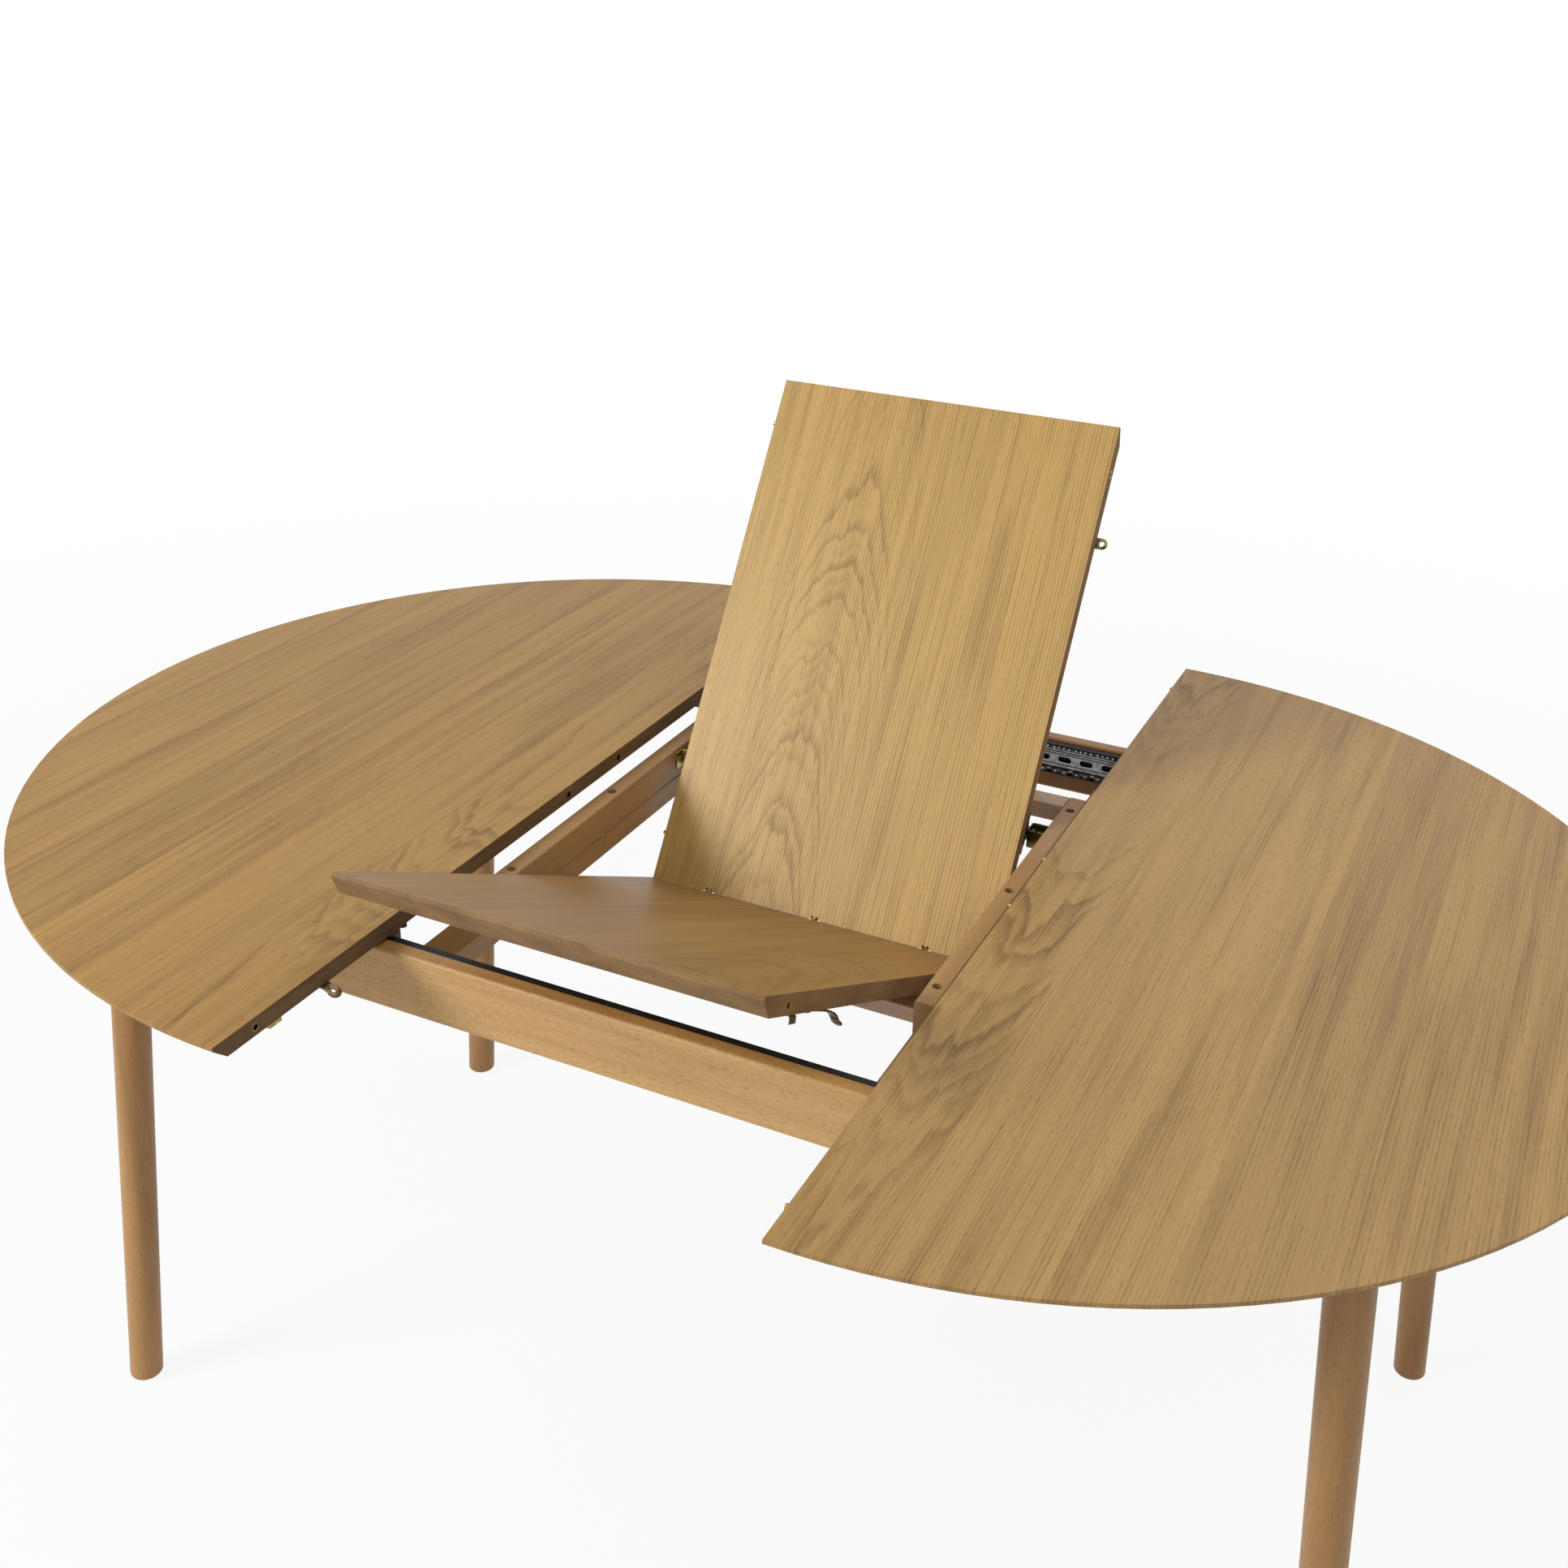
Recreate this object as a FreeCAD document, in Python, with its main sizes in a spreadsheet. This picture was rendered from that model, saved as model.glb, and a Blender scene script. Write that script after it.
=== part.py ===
import FreeCAD, Part
import Sketcher
import math
import os
import re

# Round pull-out table with a butterfly leaf. Lengths in mm, angles in degrees.
# +X is the way the right half pulls out, -Y is the front, +Z is up.
# The origin is on the floor under the middle of the table.

os.makedirs("parts", exist_ok=True)
doc = FreeCAD.newDocument("butterfly_leaf_table")
sheet = doc.addObject("Spreadsheet::Sheet", "dims")
gauge = doc.addObject("App::FeaturePython", "gauge")
rows = []


def dim(alias, value, note):
    """One driving dimension: its value, its alias and what it measures."""
    rows.append(alias)
    row = str(len(rows))
    sheet.set("A" + row, str(value))
    sheet.setAlias("A" + row, alias)
    sheet.set("B" + row, note)


# The top: two half discs, pulled apart, with a sloped underside to a thin lip.
dim("top_height", 750, "floor to the upper face of the top")
dim("top_radius", 597, "radius of each half disc")
dim("top_thickness", 18, "board thickness of halves and leaf")
dim("rim_lip", 4, "upright part of the rim")
dim("bevel_run", 16, "width of the slope under the rim")
dim("pull_clearance", 51.5, "leaf edge to the split edge, halves pulled out")

# The centre frame: two rails along X, tied by doubled cross beams.
dim("rail_overhang", 216.5, "rim to the outer face of a rail, along the split edge")
dim("rail_thickness", 18, "rail thickness")
dim("rail_depth", 65, "rail height")
dim("rail_drop", 22, "table top to rail top")
dim("rail_reach", 430, "centre to the end of a rail")
dim("rail_rounding", 4, "rounding along the rail edges")
dim("beam_clearance", 19, "leaf edge to the inner face of the cross beams")
dim("upper_beam_width", 20, "upper beam, along X")
dim("upper_beam_depth", 36, "upper beam, along Z")
dim("upper_beam_reach", 227.5, "centre to the end of an upper beam")
dim("beam_drop", 24, "table top to the top of the upper beams")
dim("lower_beam_width", 37, "lower beam, along X")
dim("lower_beam_depth", 23, "lower beam, along Z")
dim("tongue_depth", 14, "height of the thin ends of the lower beams")
dim("tongue_length", 35.5, "thin end of a lower beam, along Y")
dim("beam_rounding", 2.5, "rounding along the beam edges")
dim("board_width", 26, "far cross board, along Y")
dim("board_depth", 20, "far cross board, along Z")
dim("slat_width", 30, "near support slat, along Y")
dim("slat_depth", 17, "near support slat, along Z")
dim("slat_back", 125, "centre line to the back edge of the slat")
dim("slat_inset", 2, "outer face of a lower beam to the end of the slat")
dim("slat_rounding", 1.5, "rounding along the slat edges")
dim("screw_pitch", 196, "beam screw to beam screw, along Y")
dim("screw_radius", 2.2, "screw shank")
dim("screw_head_radius", 4.6, "screw head")
dim("screw_head_height", 4, "screw head")
dim("counterbore_radius", 5, "counterbore in the upper beam")
dim("counterbore_depth", 11, "counterbore in the upper beam")
dim("screw_share", 0.7, "share of an upper beam's width that a screw goes into")
dim("screw_grip", 18, "screw length in the second piece")

# The ball-bearing slides between the rails and the runners.
dim("slide_depth", 38, "outer member, along Z")
dim("slide_drop", 3, "rail top to the top of a slide")
dim("slide_width", 12.7, "whole slide, along Y")
dim("slide_wall", 1.2, "sheet thickness of the members")
dim("outer_flange", 9, "depth of the outer channel, along Y")
dim("outer_reach", 424, "centre to the end of an outer member")
dim("middle_depth", 26.2, "middle member, along Z")
dim("middle_rise", 5.9, "slide bottom to middle member bottom")
dim("middle_inset", 8, "inner face of the slide to the middle web's outer face")
dim("middle_lip", 3.6, "lip of the middle member, along Y")
dim("middle_length", 350, "middle member, along X")
dim("middle_lag", 122, "split edge back to the start of the middle member")
dim("slot_pitch", 26.4, "slot to slot along the middle member")
dim("slot_length", 16, "oblong slot")
dim("slot_height", 7, "oblong slot")
dim("slot_margin", 17, "end of the middle member to the first slot's centre")
dim("inner_depth", 23.2, "inner member, along Z")
dim("inner_rise", 7.4, "slide bottom to inner member bottom")
dim("inner_lip", 5.2, "inner member, along Y")
dim("inner_start", 2, "split edge to the inner member")
dim("inner_length", 350, "inner member, along X")
dim("race_width", 4, "ball retainer, along Y")
dim("race_depth", 4, "ball retainer, along Z")
dim("race_gap", 0.35, "retainer to the middle member")

# Under each half: runners, end apron, corner blocks and legs.
dim("runner_width", 20, "runner, along Y")
dim("runner_start", 14, "split edge to the runner")
dim("runner_clearance", 26, "end of the runner to the leg's axis")
dim("apron_thickness", 18, "end apron, along X")
dim("apron_depth", 60, "end apron, along Z")
dim("leg_setback", 224, "rim to the leg's axis under the top, along X")
dim("leg_inset", 45.5, "rail's inner face to the leg's axis under the top")
dim("leg_rake", 51, "how far the foot stands out along X")
dim("leg_splay", 28, "how far the foot stands out along Y")
dim("leg_overrun", 0.01, "share of its height that a leg's blank runs past the foot")
dim("leg_top_radius", 21, "leg under the top")
dim("leg_foot_radius", 18.5, "leg at the foot")
dim("foot_rounding", 4, "rounding round the foot")
dim("glide_radius", 11, "foot glide")
dim("glide_height", 3, "foot glide")
dim("block_thickness", 21, "corner block, across its faces")
dim("block_clearance", 1.1, "leg to the corner block")
dim("block_depth", 40, "corner block, along Z")
dim("bolt_drop", 20, "underside of the top to the leg bolt")
dim("bolt_radius", 3, "leg bolt")
dim("bolt_head_radius", 6.5, "leg bolt's nut")
dim("bolt_head_height", 5, "leg bolt's nut")
dim("bolt_bite", 9, "length of bolt inside the leg")

# The leaf: two hinged panels that hang on two pivots.
dim("leaf_width", 402, "leaf, along X")
dim("panel_gap", 0.25, "fold line to the edge of a panel")
dim("fold_rise", 0.3, "upper face of the panels to the fold axis")
dim("pivot_reach", 148.5, "fold axis to the pivot, along the far panel")
dim("pivot_drop", 36.5, "fold axis down to the pivot, across the far panel")
dim("far_lean_angle", 57.7, "slope of the far panel")
dim("near_lean_angle", 27, "slope of the near panel")
dim("bracket_gap", 1, "edge of the leaf to the pivot bracket")
dim("bracket_width", 18, "web of the pivot bracket, along Y")
dim("bracket_wing", 10, "wing of the pivot bracket, along Y")
dim("bracket_height", 20, "pivot bracket, along Z")
dim("bracket_wall", 1.5, "sheet thickness of the bracket")
dim("bracket_lift", 8, "pivot axis to the top of the bracket")
dim("pivot_radius", 3, "pivot pin")
dim("pivot_head_radius", 5.5, "head of the pivot pin")
dim("pivot_head_height", 4, "head of the pivot pin")
dim("running_clearance", 0.05, "radial clearance of the pivots")
dim("plate_start", 123, "fold axis to the pivot plate")
dim("plate_length", 76, "pivot plate, along the panel")
dim("plate_wall", 2, "sheet thickness of the pivot plate")
dim("plate_inset", 3.5, "edge of the leaf to the upright flange")
dim("plate_foot", 20, "width of the screwed flange")
dim("plate_drop", 13, "depth of the upright flange")
dim("plate_lobe", 9, "radius of the eye round the pivot")
dim("barrel_pitch", 130, "hinge to hinge along the fold")
dim("barrel_radius", 7, "hinge barrel in the panel's edge")
dim("barrel_length", 22, "hinge barrel")
dim("barrel_drop", 9, "fold axis to the barrel's axis")
dim("knuckle_radius", 1.3, "hinge knuckle")
dim("knuckle_width", 3.8, "middle knuckle")
dim("knuckle_gap", 0.2, "play between knuckles")
dim("side_knuckle", 1.6, "side knuckle")
dim("lug_reach", 3.4, "depth of a knuckle's lug in the panel")
dim("hinge_pin_radius", 0.65, "hinge pin")

# Pins, sockets and locks along the split edges.
dim("dowel_near_middle", 52, "centre line to the inner dowels")
dim("dowel_inset", 51, "rim to the outer dowels, along the split edge")
dim("dowel_drop", 10, "upper face to the dowels' axis")
dim("dowel_radius", 2.4, "dowel pin")
dim("dowel_nose", 6, "length of pin that stands out")
dim("dowel_root", 18, "length of pin in the board")
dim("socket_radius", 4, "outside of a socket")
dim("socket_bore", 2.8, "bore of a socket")
dim("socket_depth", 16, "socket")
dim("lock_inset", 140, "rim to the lock plate of the left half")
dim("lock_width", 15, "lock plate")
dim("lock_wall", 2.5, "thickness of the lock plate")
dim("lock_nose", 13, "how far the lock plate stands out to its round end")
dim("lock_tail", 32, "lock plate under the top")
dim("lock_eye", 3.2, "radius of the hole in a lock plate or tab")
dim("catch_inset", 76, "rim to the catch block of a half")
dim("catch_width", 13, "catch block, along Y")
dim("catch_depth", 12, "catch block, along Z")
dim("catch_length", 10, "catch block, along X")
dim("keeper_inset", 170, "rim to the keeper of the right half")
dim("keeper_width", 17, "keeper, along Y")
dim("keeper_depth", 10, "keeper, along Z")
dim("strike_back", 33, "split edge to the lever's strike on the right half")
dim("strike_drop", 20, "lever's strike, along Z")
dim("stop_length", 14, "slide stop, along X")
dim("stop_height", 4.2, "slide stop, along Z")
dim("bumper_radius", 4, "rubber bumper under the split edge")
dim("bumper_height", 6, "rubber bumper")
dim("bumper_back", 6, "split edge to the bumper's axis")
dim("bumper_inset", 26.5, "rail's inner face to the rubber bumper")
dim("tab_width", 14, "lock tab on the leaf")
dim("tab_wall", 1.6, "thickness of a leaf tab")
dim("tab_root", 26, "leaf tab on the panel")
dim("tab_nose", 10, "leaf tab beyond the edge, to its round end")
dim("far_tab_inset", 133, "outer end to the far panel's lock tab")
dim("near_tab_inset", 50, "outer end to the near panel's lock tab")
dim("button_inset", 152, "outer end to the far panel's round button")
dim("button_radius", 7, "round button")
dim("button_height", 6, "round button")
dim("button_set", 9.8, "edge of the leaf to the button's axis")
dim("strike_inset", 89, "outer end to the near panel's strike")
dim("strike_length", 14, "strike, along X")
dim("strike_width", 12, "strike, along the panel")
dim("lever_from_rim", 121, "outer end to the latch lever's pivot")
dim("lever_inset", 12, "edge of the leaf to the lever's pivot")
dim("lever_length", 42, "pivot to the hook of the lever")
dim("lever_width", 10, "latch lever")
dim("lever_wall", 2, "thickness of the lever")
dim("lever_hook", 10, "depth of the lever's hook")
dim("lever_washer", 2, "washer between the panel and the lever")
dim("cap_step", 0.5, "lever's edge to the edge of the cap on its pivot")
doc.recompute()

WORD = re.compile(r"\b([a-z]+(?:_[a-z]+)+)\b")
failed = []
nodes = []


def linked(text):
    """Expression text for this document: each underscored word is an alias."""
    return WORD.sub(r"dims.\1", text)


def size(text):
    """Value of an expression, for first positions and for counts."""
    return float(gauge.evalExpression(linked(text)))


def link(item, prop, text):
    """Bind one property to the sheet."""
    item.setExpression(prop, linked(text))


def move(item, x, y, z):
    """Bind the base point of an item's placement."""
    link(item, "Placement.Base.x", x)
    link(item, "Placement.Base.y", y)
    link(item, "Placement.Base.z", z)


def block(name, x, y, z, length, width, height):
    """Plain block, from its lowest corner."""
    item = doc.addObject("Part::Box", name)
    link(item, "Length", length)
    link(item, "Width", width)
    link(item, "Height", height)
    move(item, x, y, z)
    return item


TURNS = {
    "+X": FreeCAD.Rotation(FreeCAD.Vector(0, 1, 0), 90),
    "-X": FreeCAD.Rotation(FreeCAD.Vector(0, 1, 0), -90),
    "+Y": FreeCAD.Rotation(FreeCAD.Vector(1, 0, 0), -90),
    "-Y": FreeCAD.Rotation(FreeCAD.Vector(1, 0, 0), 90),
    "+Z": FreeCAD.Rotation(),
    "-Z": FreeCAD.Rotation(FreeCAD.Vector(1, 0, 0), 180),
}


def rod(name, way, x, y, z, radius, length):
    """Cylinder from a point, along one of the six directions."""
    item = doc.addObject("Part::Cylinder", name)
    link(item, "Radius", radius)
    link(item, "Height", length)
    item.Placement = FreeCAD.Placement(FreeCAD.Vector(), TURNS[way])
    move(item, x, y, z)
    return item


def fuse(name, parts):
    """One solid from touching or crossing pieces."""
    item = doc.addObject("Part::MultiFuse", name)
    item.Shapes = parts
    item.Refine = True
    return item


def group(name, parts):
    """Several like pieces kept as separate solids."""
    item = doc.addObject("Part::Compound", name)
    item.Links = parts
    return item


def cut(name, base, tools):
    """Base with every tool taken away."""
    item = doc.addObject("Part::Cut", name)
    item.Base = base
    item.Tool = tools[0] if len(tools) == 1 else group(name + "_tools", tools)
    return item


def node(item, label):
    """Name an item as one sub-part of the table."""
    item.Label = label
    nodes.append(item)
    return item


def half_name(side):
    """Side word for a sign along X."""
    return "right" if side > 0 else "left"


def end_name(end):
    """Front or back for a sign along Y."""
    return "back" if end > 0 else "front"


def signed(sign, text):
    """Text with a sign in front."""
    return "(" + text + ")" if sign > 0 else "-(" + text + ")"


def lowest(sign, inner, extent):
    """Lower corner of a piece that starts at inner and goes outward."""
    return "(" + inner + ")" if sign > 0 else "-(" + inner + ") - (" + extent + ")"


def sketch_on(body, role, name):
    """Sketch on one of the body's own origin planes."""
    sketch = body.newObject("Sketcher::SketchObject", name)
    for plane in body.Origin.OriginFeatures:
        if plane.Role == role:
            sketch.AttachmentSupport = [(plane, "")]
    sketch.MapMode = "FlatFace"
    return sketch


def pin_point(sketch, line, spot, axis, text):
    """Hold one coordinate of a point on a line or circle."""
    if text == "0":
        sketch.addConstraint(Sketcher.Constraint("PointOnObject", line, spot, -2 if axis == "X" else -1))
        return
    sketch.addConstraint(Sketcher.Constraint("Distance" + axis, -1, 1, line, spot, size(text)))
    link(sketch, "Constraints[" + str(sketch.ConstraintCount - 1) + "]", text)


def outline(sketch, points):
    """Closed polygon whose corners are all held by the sheet."""
    count = len(points)
    spots = [FreeCAD.Vector(size(x), size(y), 0) for x, y in points]
    lines = []
    for index in range(count):
        edge = Part.LineSegment(spots[index], spots[(index + 1) % count])
        lines.append(sketch.addGeometry(edge, False))
    for index in range(count):
        follower = lines[(index + 1) % count]
        sketch.addConstraint(Sketcher.Constraint("Coincident", lines[index], 2, follower, 1))
    for index in range(count):
        pin_point(sketch, lines[index], 1, "X", points[index][0])
        pin_point(sketch, lines[index], 1, "Y", points[index][1])
    return sketch


def extruded(name, role, points, length, both_ways):
    """Body with one closed profile padded square to its plane."""
    body = doc.addObject("PartDesign::Body", name)
    profile = outline(sketch_on(body, role, name + "_profile"), points)
    pad = body.newObject("PartDesign::Pad", name + "_pad")
    pad.Profile = profile
    pad.Midplane = both_ways
    link(pad, "Length", length)
    doc.recompute()
    return body


def rounded(body, radius, axis):
    """Round the edges of a body that run its whole length along one axis."""
    tip = body.Tip
    whole = getattr(tip.Shape.BoundBox, axis + "Length")
    names = []
    for index, edge in enumerate(tip.Shape.Edges):
        if getattr(edge.BoundBox, axis + "Length") > whole * 0.98:
            names.append("Edge" + str(index + 1))
    fillet = body.newObject("PartDesign::Fillet", body.Name + "_arris")
    fillet.Base = (tip, names)
    link(fillet, "Radius", radius)
    doc.recompute()
    return body


def box_outline(x, y, width, height):
    """Four corners of a rectangle from its lower left corner."""
    right = "(" + x + ") + (" + width + ")"
    top = "(" + y + ") + (" + height + ")"
    return [(x, y), (right, y), (right, top), (x, top)]


RAIL_TOP = "top_height - rail_drop"
RAIL_INNER = "(top_radius - rail_overhang - rail_thickness)"
BEAM_FACE = "(leaf_width / 2 + beam_clearance)"
SPLIT_EDGE = "(leaf_width / 2 + pull_clearance)"
TONGUE_START = "(" + RAIL_INNER + " - tongue_length)"
LEG_REACH = "(top_radius - leg_setback)"
LEG_SPREAD = "(" + RAIL_INNER + " - leg_inset)"
UNDERSIDE = "top_height - top_thickness"
UPPER_TOP = "top_height - beam_drop"
UPPER_BASE = "top_height - beam_drop - upper_beam_depth"
LOWER_BASE = "top_height - beam_drop - upper_beam_depth - lower_beam_depth"
UPPER_MIDDLE = BEAM_FACE + " + upper_beam_width / 2"

# ---------------------------------------------------------------- centre frame
# Two rails run along X outside the slides; their edges are rounded.
for end in (-1, 1):
    name = end_name(end) + "_rail"
    profile = box_outline(
        lowest(end, RAIL_INNER, "rail_thickness"),
        RAIL_TOP + " - rail_depth",
        "rail_thickness",
        "rail_depth",
    )
    rail = extruded(name, "YZ_Plane", profile, "rail_reach * 2", True)
    node(rounded(rail, "rail_rounding", "X"), name)

# Each side has a wide lower beam from rail to rail and a narrow upper beam on it.
# The lower beam's ends are thinned to pass under the slides.
screws = []
for side in (-1, 1):
    word = half_name(side)
    profile = box_outline(lowest(side, BEAM_FACE, "lower_beam_width"), LOWER_BASE,
                          "lower_beam_width", "lower_beam_depth")
    lower = extruded(word + "_lower_stick", "XZ_Plane", profile, "(" + RAIL_INNER + ") * 2", True)
    tools = []
    for end in (-1, 1):
        notch = block(word + "_lower_notch", lowest(side, BEAM_FACE, "lower_beam_width"),
                      lowest(end, TONGUE_START, RAIL_INNER + " - " + TONGUE_START),
                      "(" + LOWER_BASE + ") + tongue_depth",
                      "lower_beam_width", RAIL_INNER + " - " + TONGUE_START, "lower_beam_depth")
        tools.append(notch)
    profile = box_outline(lowest(side, BEAM_FACE, "upper_beam_width"), UPPER_BASE,
                          "upper_beam_width", "upper_beam_depth")
    upper = extruded(word + "_upper_stick", "XZ_Plane", profile, "upper_beam_reach * 2", True)
    rounded(upper, "beam_rounding", "Y")
    upper_tools = []
    for step in (-1, 0, 1):
        across = "screw_pitch * " + str(step)
        middle = signed(side, UPPER_MIDDLE)
        head_base = "(" + UPPER_TOP + ") - counterbore_depth"
        upper_tools.append(rod(word + "_counterbore", "+Z", middle, across, head_base,
                               "counterbore_radius", "counterbore_depth * 2"))
        shank = rod(word + "_beam_shank", "-Z", middle, across, head_base, "screw_radius",
                    "upper_beam_depth - counterbore_depth + screw_grip")
        head = rod(word + "_beam_head", "+Z", middle, across, head_base,
                   "screw_head_radius", "screw_head_height")
        upper_tools.append(shank)
        tools.append(shank)
        screws.append(fuse(word + "_beam_screw", [shank, head]))
    for end in (-1, 1):
        tools.append(rod(word + "_slat_pilot", "+Z", signed(side, BEAM_FACE + " + lower_beam_width / 2"),
                         "-(slat_back + slat_width / 2) + slat_width / 4 * " + str(end), LOWER_BASE,
                         "screw_radius", "screw_grip"))
    node(cut(word + "_cross_beam_lower", lower, tools), word + "_cross_beam_lower")
    pair = []
    for end in (-1, 1):
        pair.append(rod(word + "_wing_pilot", "+X" if side > 0 else "-X", signed(side, BEAM_FACE),
                        "pivot_reach + (bracket_width + bracket_wing) / 2 * " + str(end),
                        "top_height + fold_rise - pivot_drop + bracket_lift - bracket_height / 2",
                        "screw_radius", "upper_beam_width * screw_share"))
    node(cut(word + "_cross_beam_upper", upper, upper_tools + pair), word + "_cross_beam_upper")
node(group("beam_screws", screws), "beam_screws")

# A board closes the far end of the upper beams, flush with their tops.
profile = box_outline("upper_beam_reach - board_width", UPPER_TOP + " - board_depth",
                      "board_width", "board_depth")
board = extruded("far_cross_board", "YZ_Plane", profile, BEAM_FACE + " * 2", True)
node(rounded(board, "slat_rounding", "X"), "far_cross_board")

# A slat is screwed up under the lower beams, near the front of the leaf well.
profile = box_outline("-slat_back - slat_width", LOWER_BASE + " - slat_depth", "slat_width", "slat_depth")
SLAT_REACH = BEAM_FACE + " + lower_beam_width - slat_inset"
slat = extruded("slat_stick", "YZ_Plane", profile, "(" + SLAT_REACH + ") * 2", True)
rounded(slat, "slat_rounding", "X")
screws = []
for side in (-1, 1):
    for end in (-1, 1):
        x = signed(side, BEAM_FACE + " + lower_beam_width / 2")
        y = "-(slat_back + slat_width / 2) + slat_width / 4 * " + str(end)
        z = LOWER_BASE + " - slat_depth"
        shank = rod("slat_shank", "+Z", x, y, z, "screw_radius", "slat_depth + screw_grip")
        head = rod("slat_head", "-Z", x, y, z, "screw_head_radius", "screw_head_height / 2")
        screws.append(fuse("slat_screw", [shank, head]))
shanks = [screw.Shapes[0] for screw in screws]
node(cut("near_support_slat", slat, shanks), "near_support_slat")
node(group("slat_screws", screws), "slat_screws")

# The outer member of each slide is a channel on the rail's inner face.
SLIDE_BASE = "top_height - rail_drop - slide_drop - slide_depth"
SLIDE_TOP = "top_height - rail_drop - slide_drop"
for end in (-1, 1):
    name = end_name(end) + "_slide_outer"
    face = "(" + RAIL_INNER + ")"
    mouth = face + " - outer_flange"
    web = face + " - slide_wall"
    corners = [
        (face, SLIDE_BASE),
        (face, SLIDE_TOP),
        (mouth, SLIDE_TOP),
        (mouth, SLIDE_TOP + " - slide_wall"),
        (web, SLIDE_TOP + " - slide_wall"),
        (web, SLIDE_BASE + " + slide_wall"),
        (mouth, SLIDE_BASE + " + slide_wall"),
        (mouth, SLIDE_BASE),
    ]
    corners = [(signed(end, y), z) for y, z in corners]
    node(extruded(name, "YZ_Plane", corners, "outer_reach * 2", True), name)

# Hat-shaped brackets on the upper beams carry the two pivots of the leaf.
PIVOT_HEIGHT = "top_height + fold_rise - pivot_drop"
BRACKET_FACE = "leaf_width / 2 + bracket_gap"
BRACKET_BASE = PIVOT_HEIGHT + " + bracket_lift - bracket_height"
pins = []
screws = []
for side in (-1, 1):
    name = half_name(side) + "_pivot_bracket"
    near = "pivot_reach - bracket_width / 2"
    far = "pivot_reach + bracket_width / 2"
    corners = [
        (BEAM_FACE, near + " - bracket_wing"),
        (BEAM_FACE + " - bracket_wall", near + " - bracket_wing"),
        (BEAM_FACE + " - bracket_wall", near),
        (BRACKET_FACE, near),
        (BRACKET_FACE, far),
        (BEAM_FACE + " - bracket_wall", far),
        (BEAM_FACE + " - bracket_wall", far + " + bracket_wing"),
        (BEAM_FACE, far + " + bracket_wing"),
        (BEAM_FACE, far + " - bracket_wall"),
        (BRACKET_FACE + " + bracket_wall", far + " - bracket_wall"),
        (BRACKET_FACE + " + bracket_wall", near + " + bracket_wall"),
        (BEAM_FACE, near + " + bracket_wall"),
    ]
    corners = [(signed(side, x), y) for x, y in corners]
    hat = extruded(name + "_hat", "XY_Plane", corners, "bracket_height", False)
    link(hat, "Placement.Base.z", BRACKET_BASE)
    way = "+X" if side > 0 else "-X"
    start = signed(side, "leaf_width / 2 - plate_inset - plate_wall - pivot_radius")
    head = signed(side, BRACKET_FACE + " + bracket_wall")
    reach = "bracket_gap + bracket_wall + plate_inset + plate_wall + pivot_radius"
    shank = rod(name + "_pin", way, start, "pivot_reach", PIVOT_HEIGHT, "pivot_radius", reach)
    cap = rod(name + "_pin_head", way, head, "pivot_reach", PIVOT_HEIGHT,
              "pivot_head_radius", "pivot_head_height")
    pins.append(fuse(name + "_pivot", [shank, cap]))
    tools = [shank]
    for end in (-1, 1):
        y = "pivot_reach + (bracket_width + bracket_wing) / 2 * " + str(end)
        z = BRACKET_BASE + " + bracket_height / 2"
        stem = rod(name + "_wing_shank", way, signed(side, BEAM_FACE + " - bracket_wall"), y, z,
                   "screw_radius", "bracket_wall + upper_beam_width * screw_share")
        button = rod(name + "_wing_head", "-X" if side > 0 else "+X",
                     signed(side, BEAM_FACE + " - bracket_wall"), y, z,
                     "screw_head_radius", "bracket_wall")
        tools.append(stem)
        screws.append(fuse(name + "_screw", [stem, button]))
    node(cut(name, hat, tools), name)
node(group("bracket_screws", screws), "bracket_screws")
node(group("pivot_pins", pins), "pivot_pins")

# ---------------------------------------------------------------- the two halves
# Each half is drawn with its split edge on x = 0 and its rim on +X, then set out
# at the split; the left half is the same drawing turned half round.


def on_half(item, side):
    """Set a piece out with its half."""
    if side < 0:
        item.Placement = FreeCAD.Placement(FreeCAD.Vector(), FreeCAD.Rotation(FreeCAD.Vector(0, 0, 1), 180))
    link(item, "Placement.Base.x", signed(side, SPLIT_EDGE))
    return item


DOWEL_HEIGHT = "top_height - dowel_drop"
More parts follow.
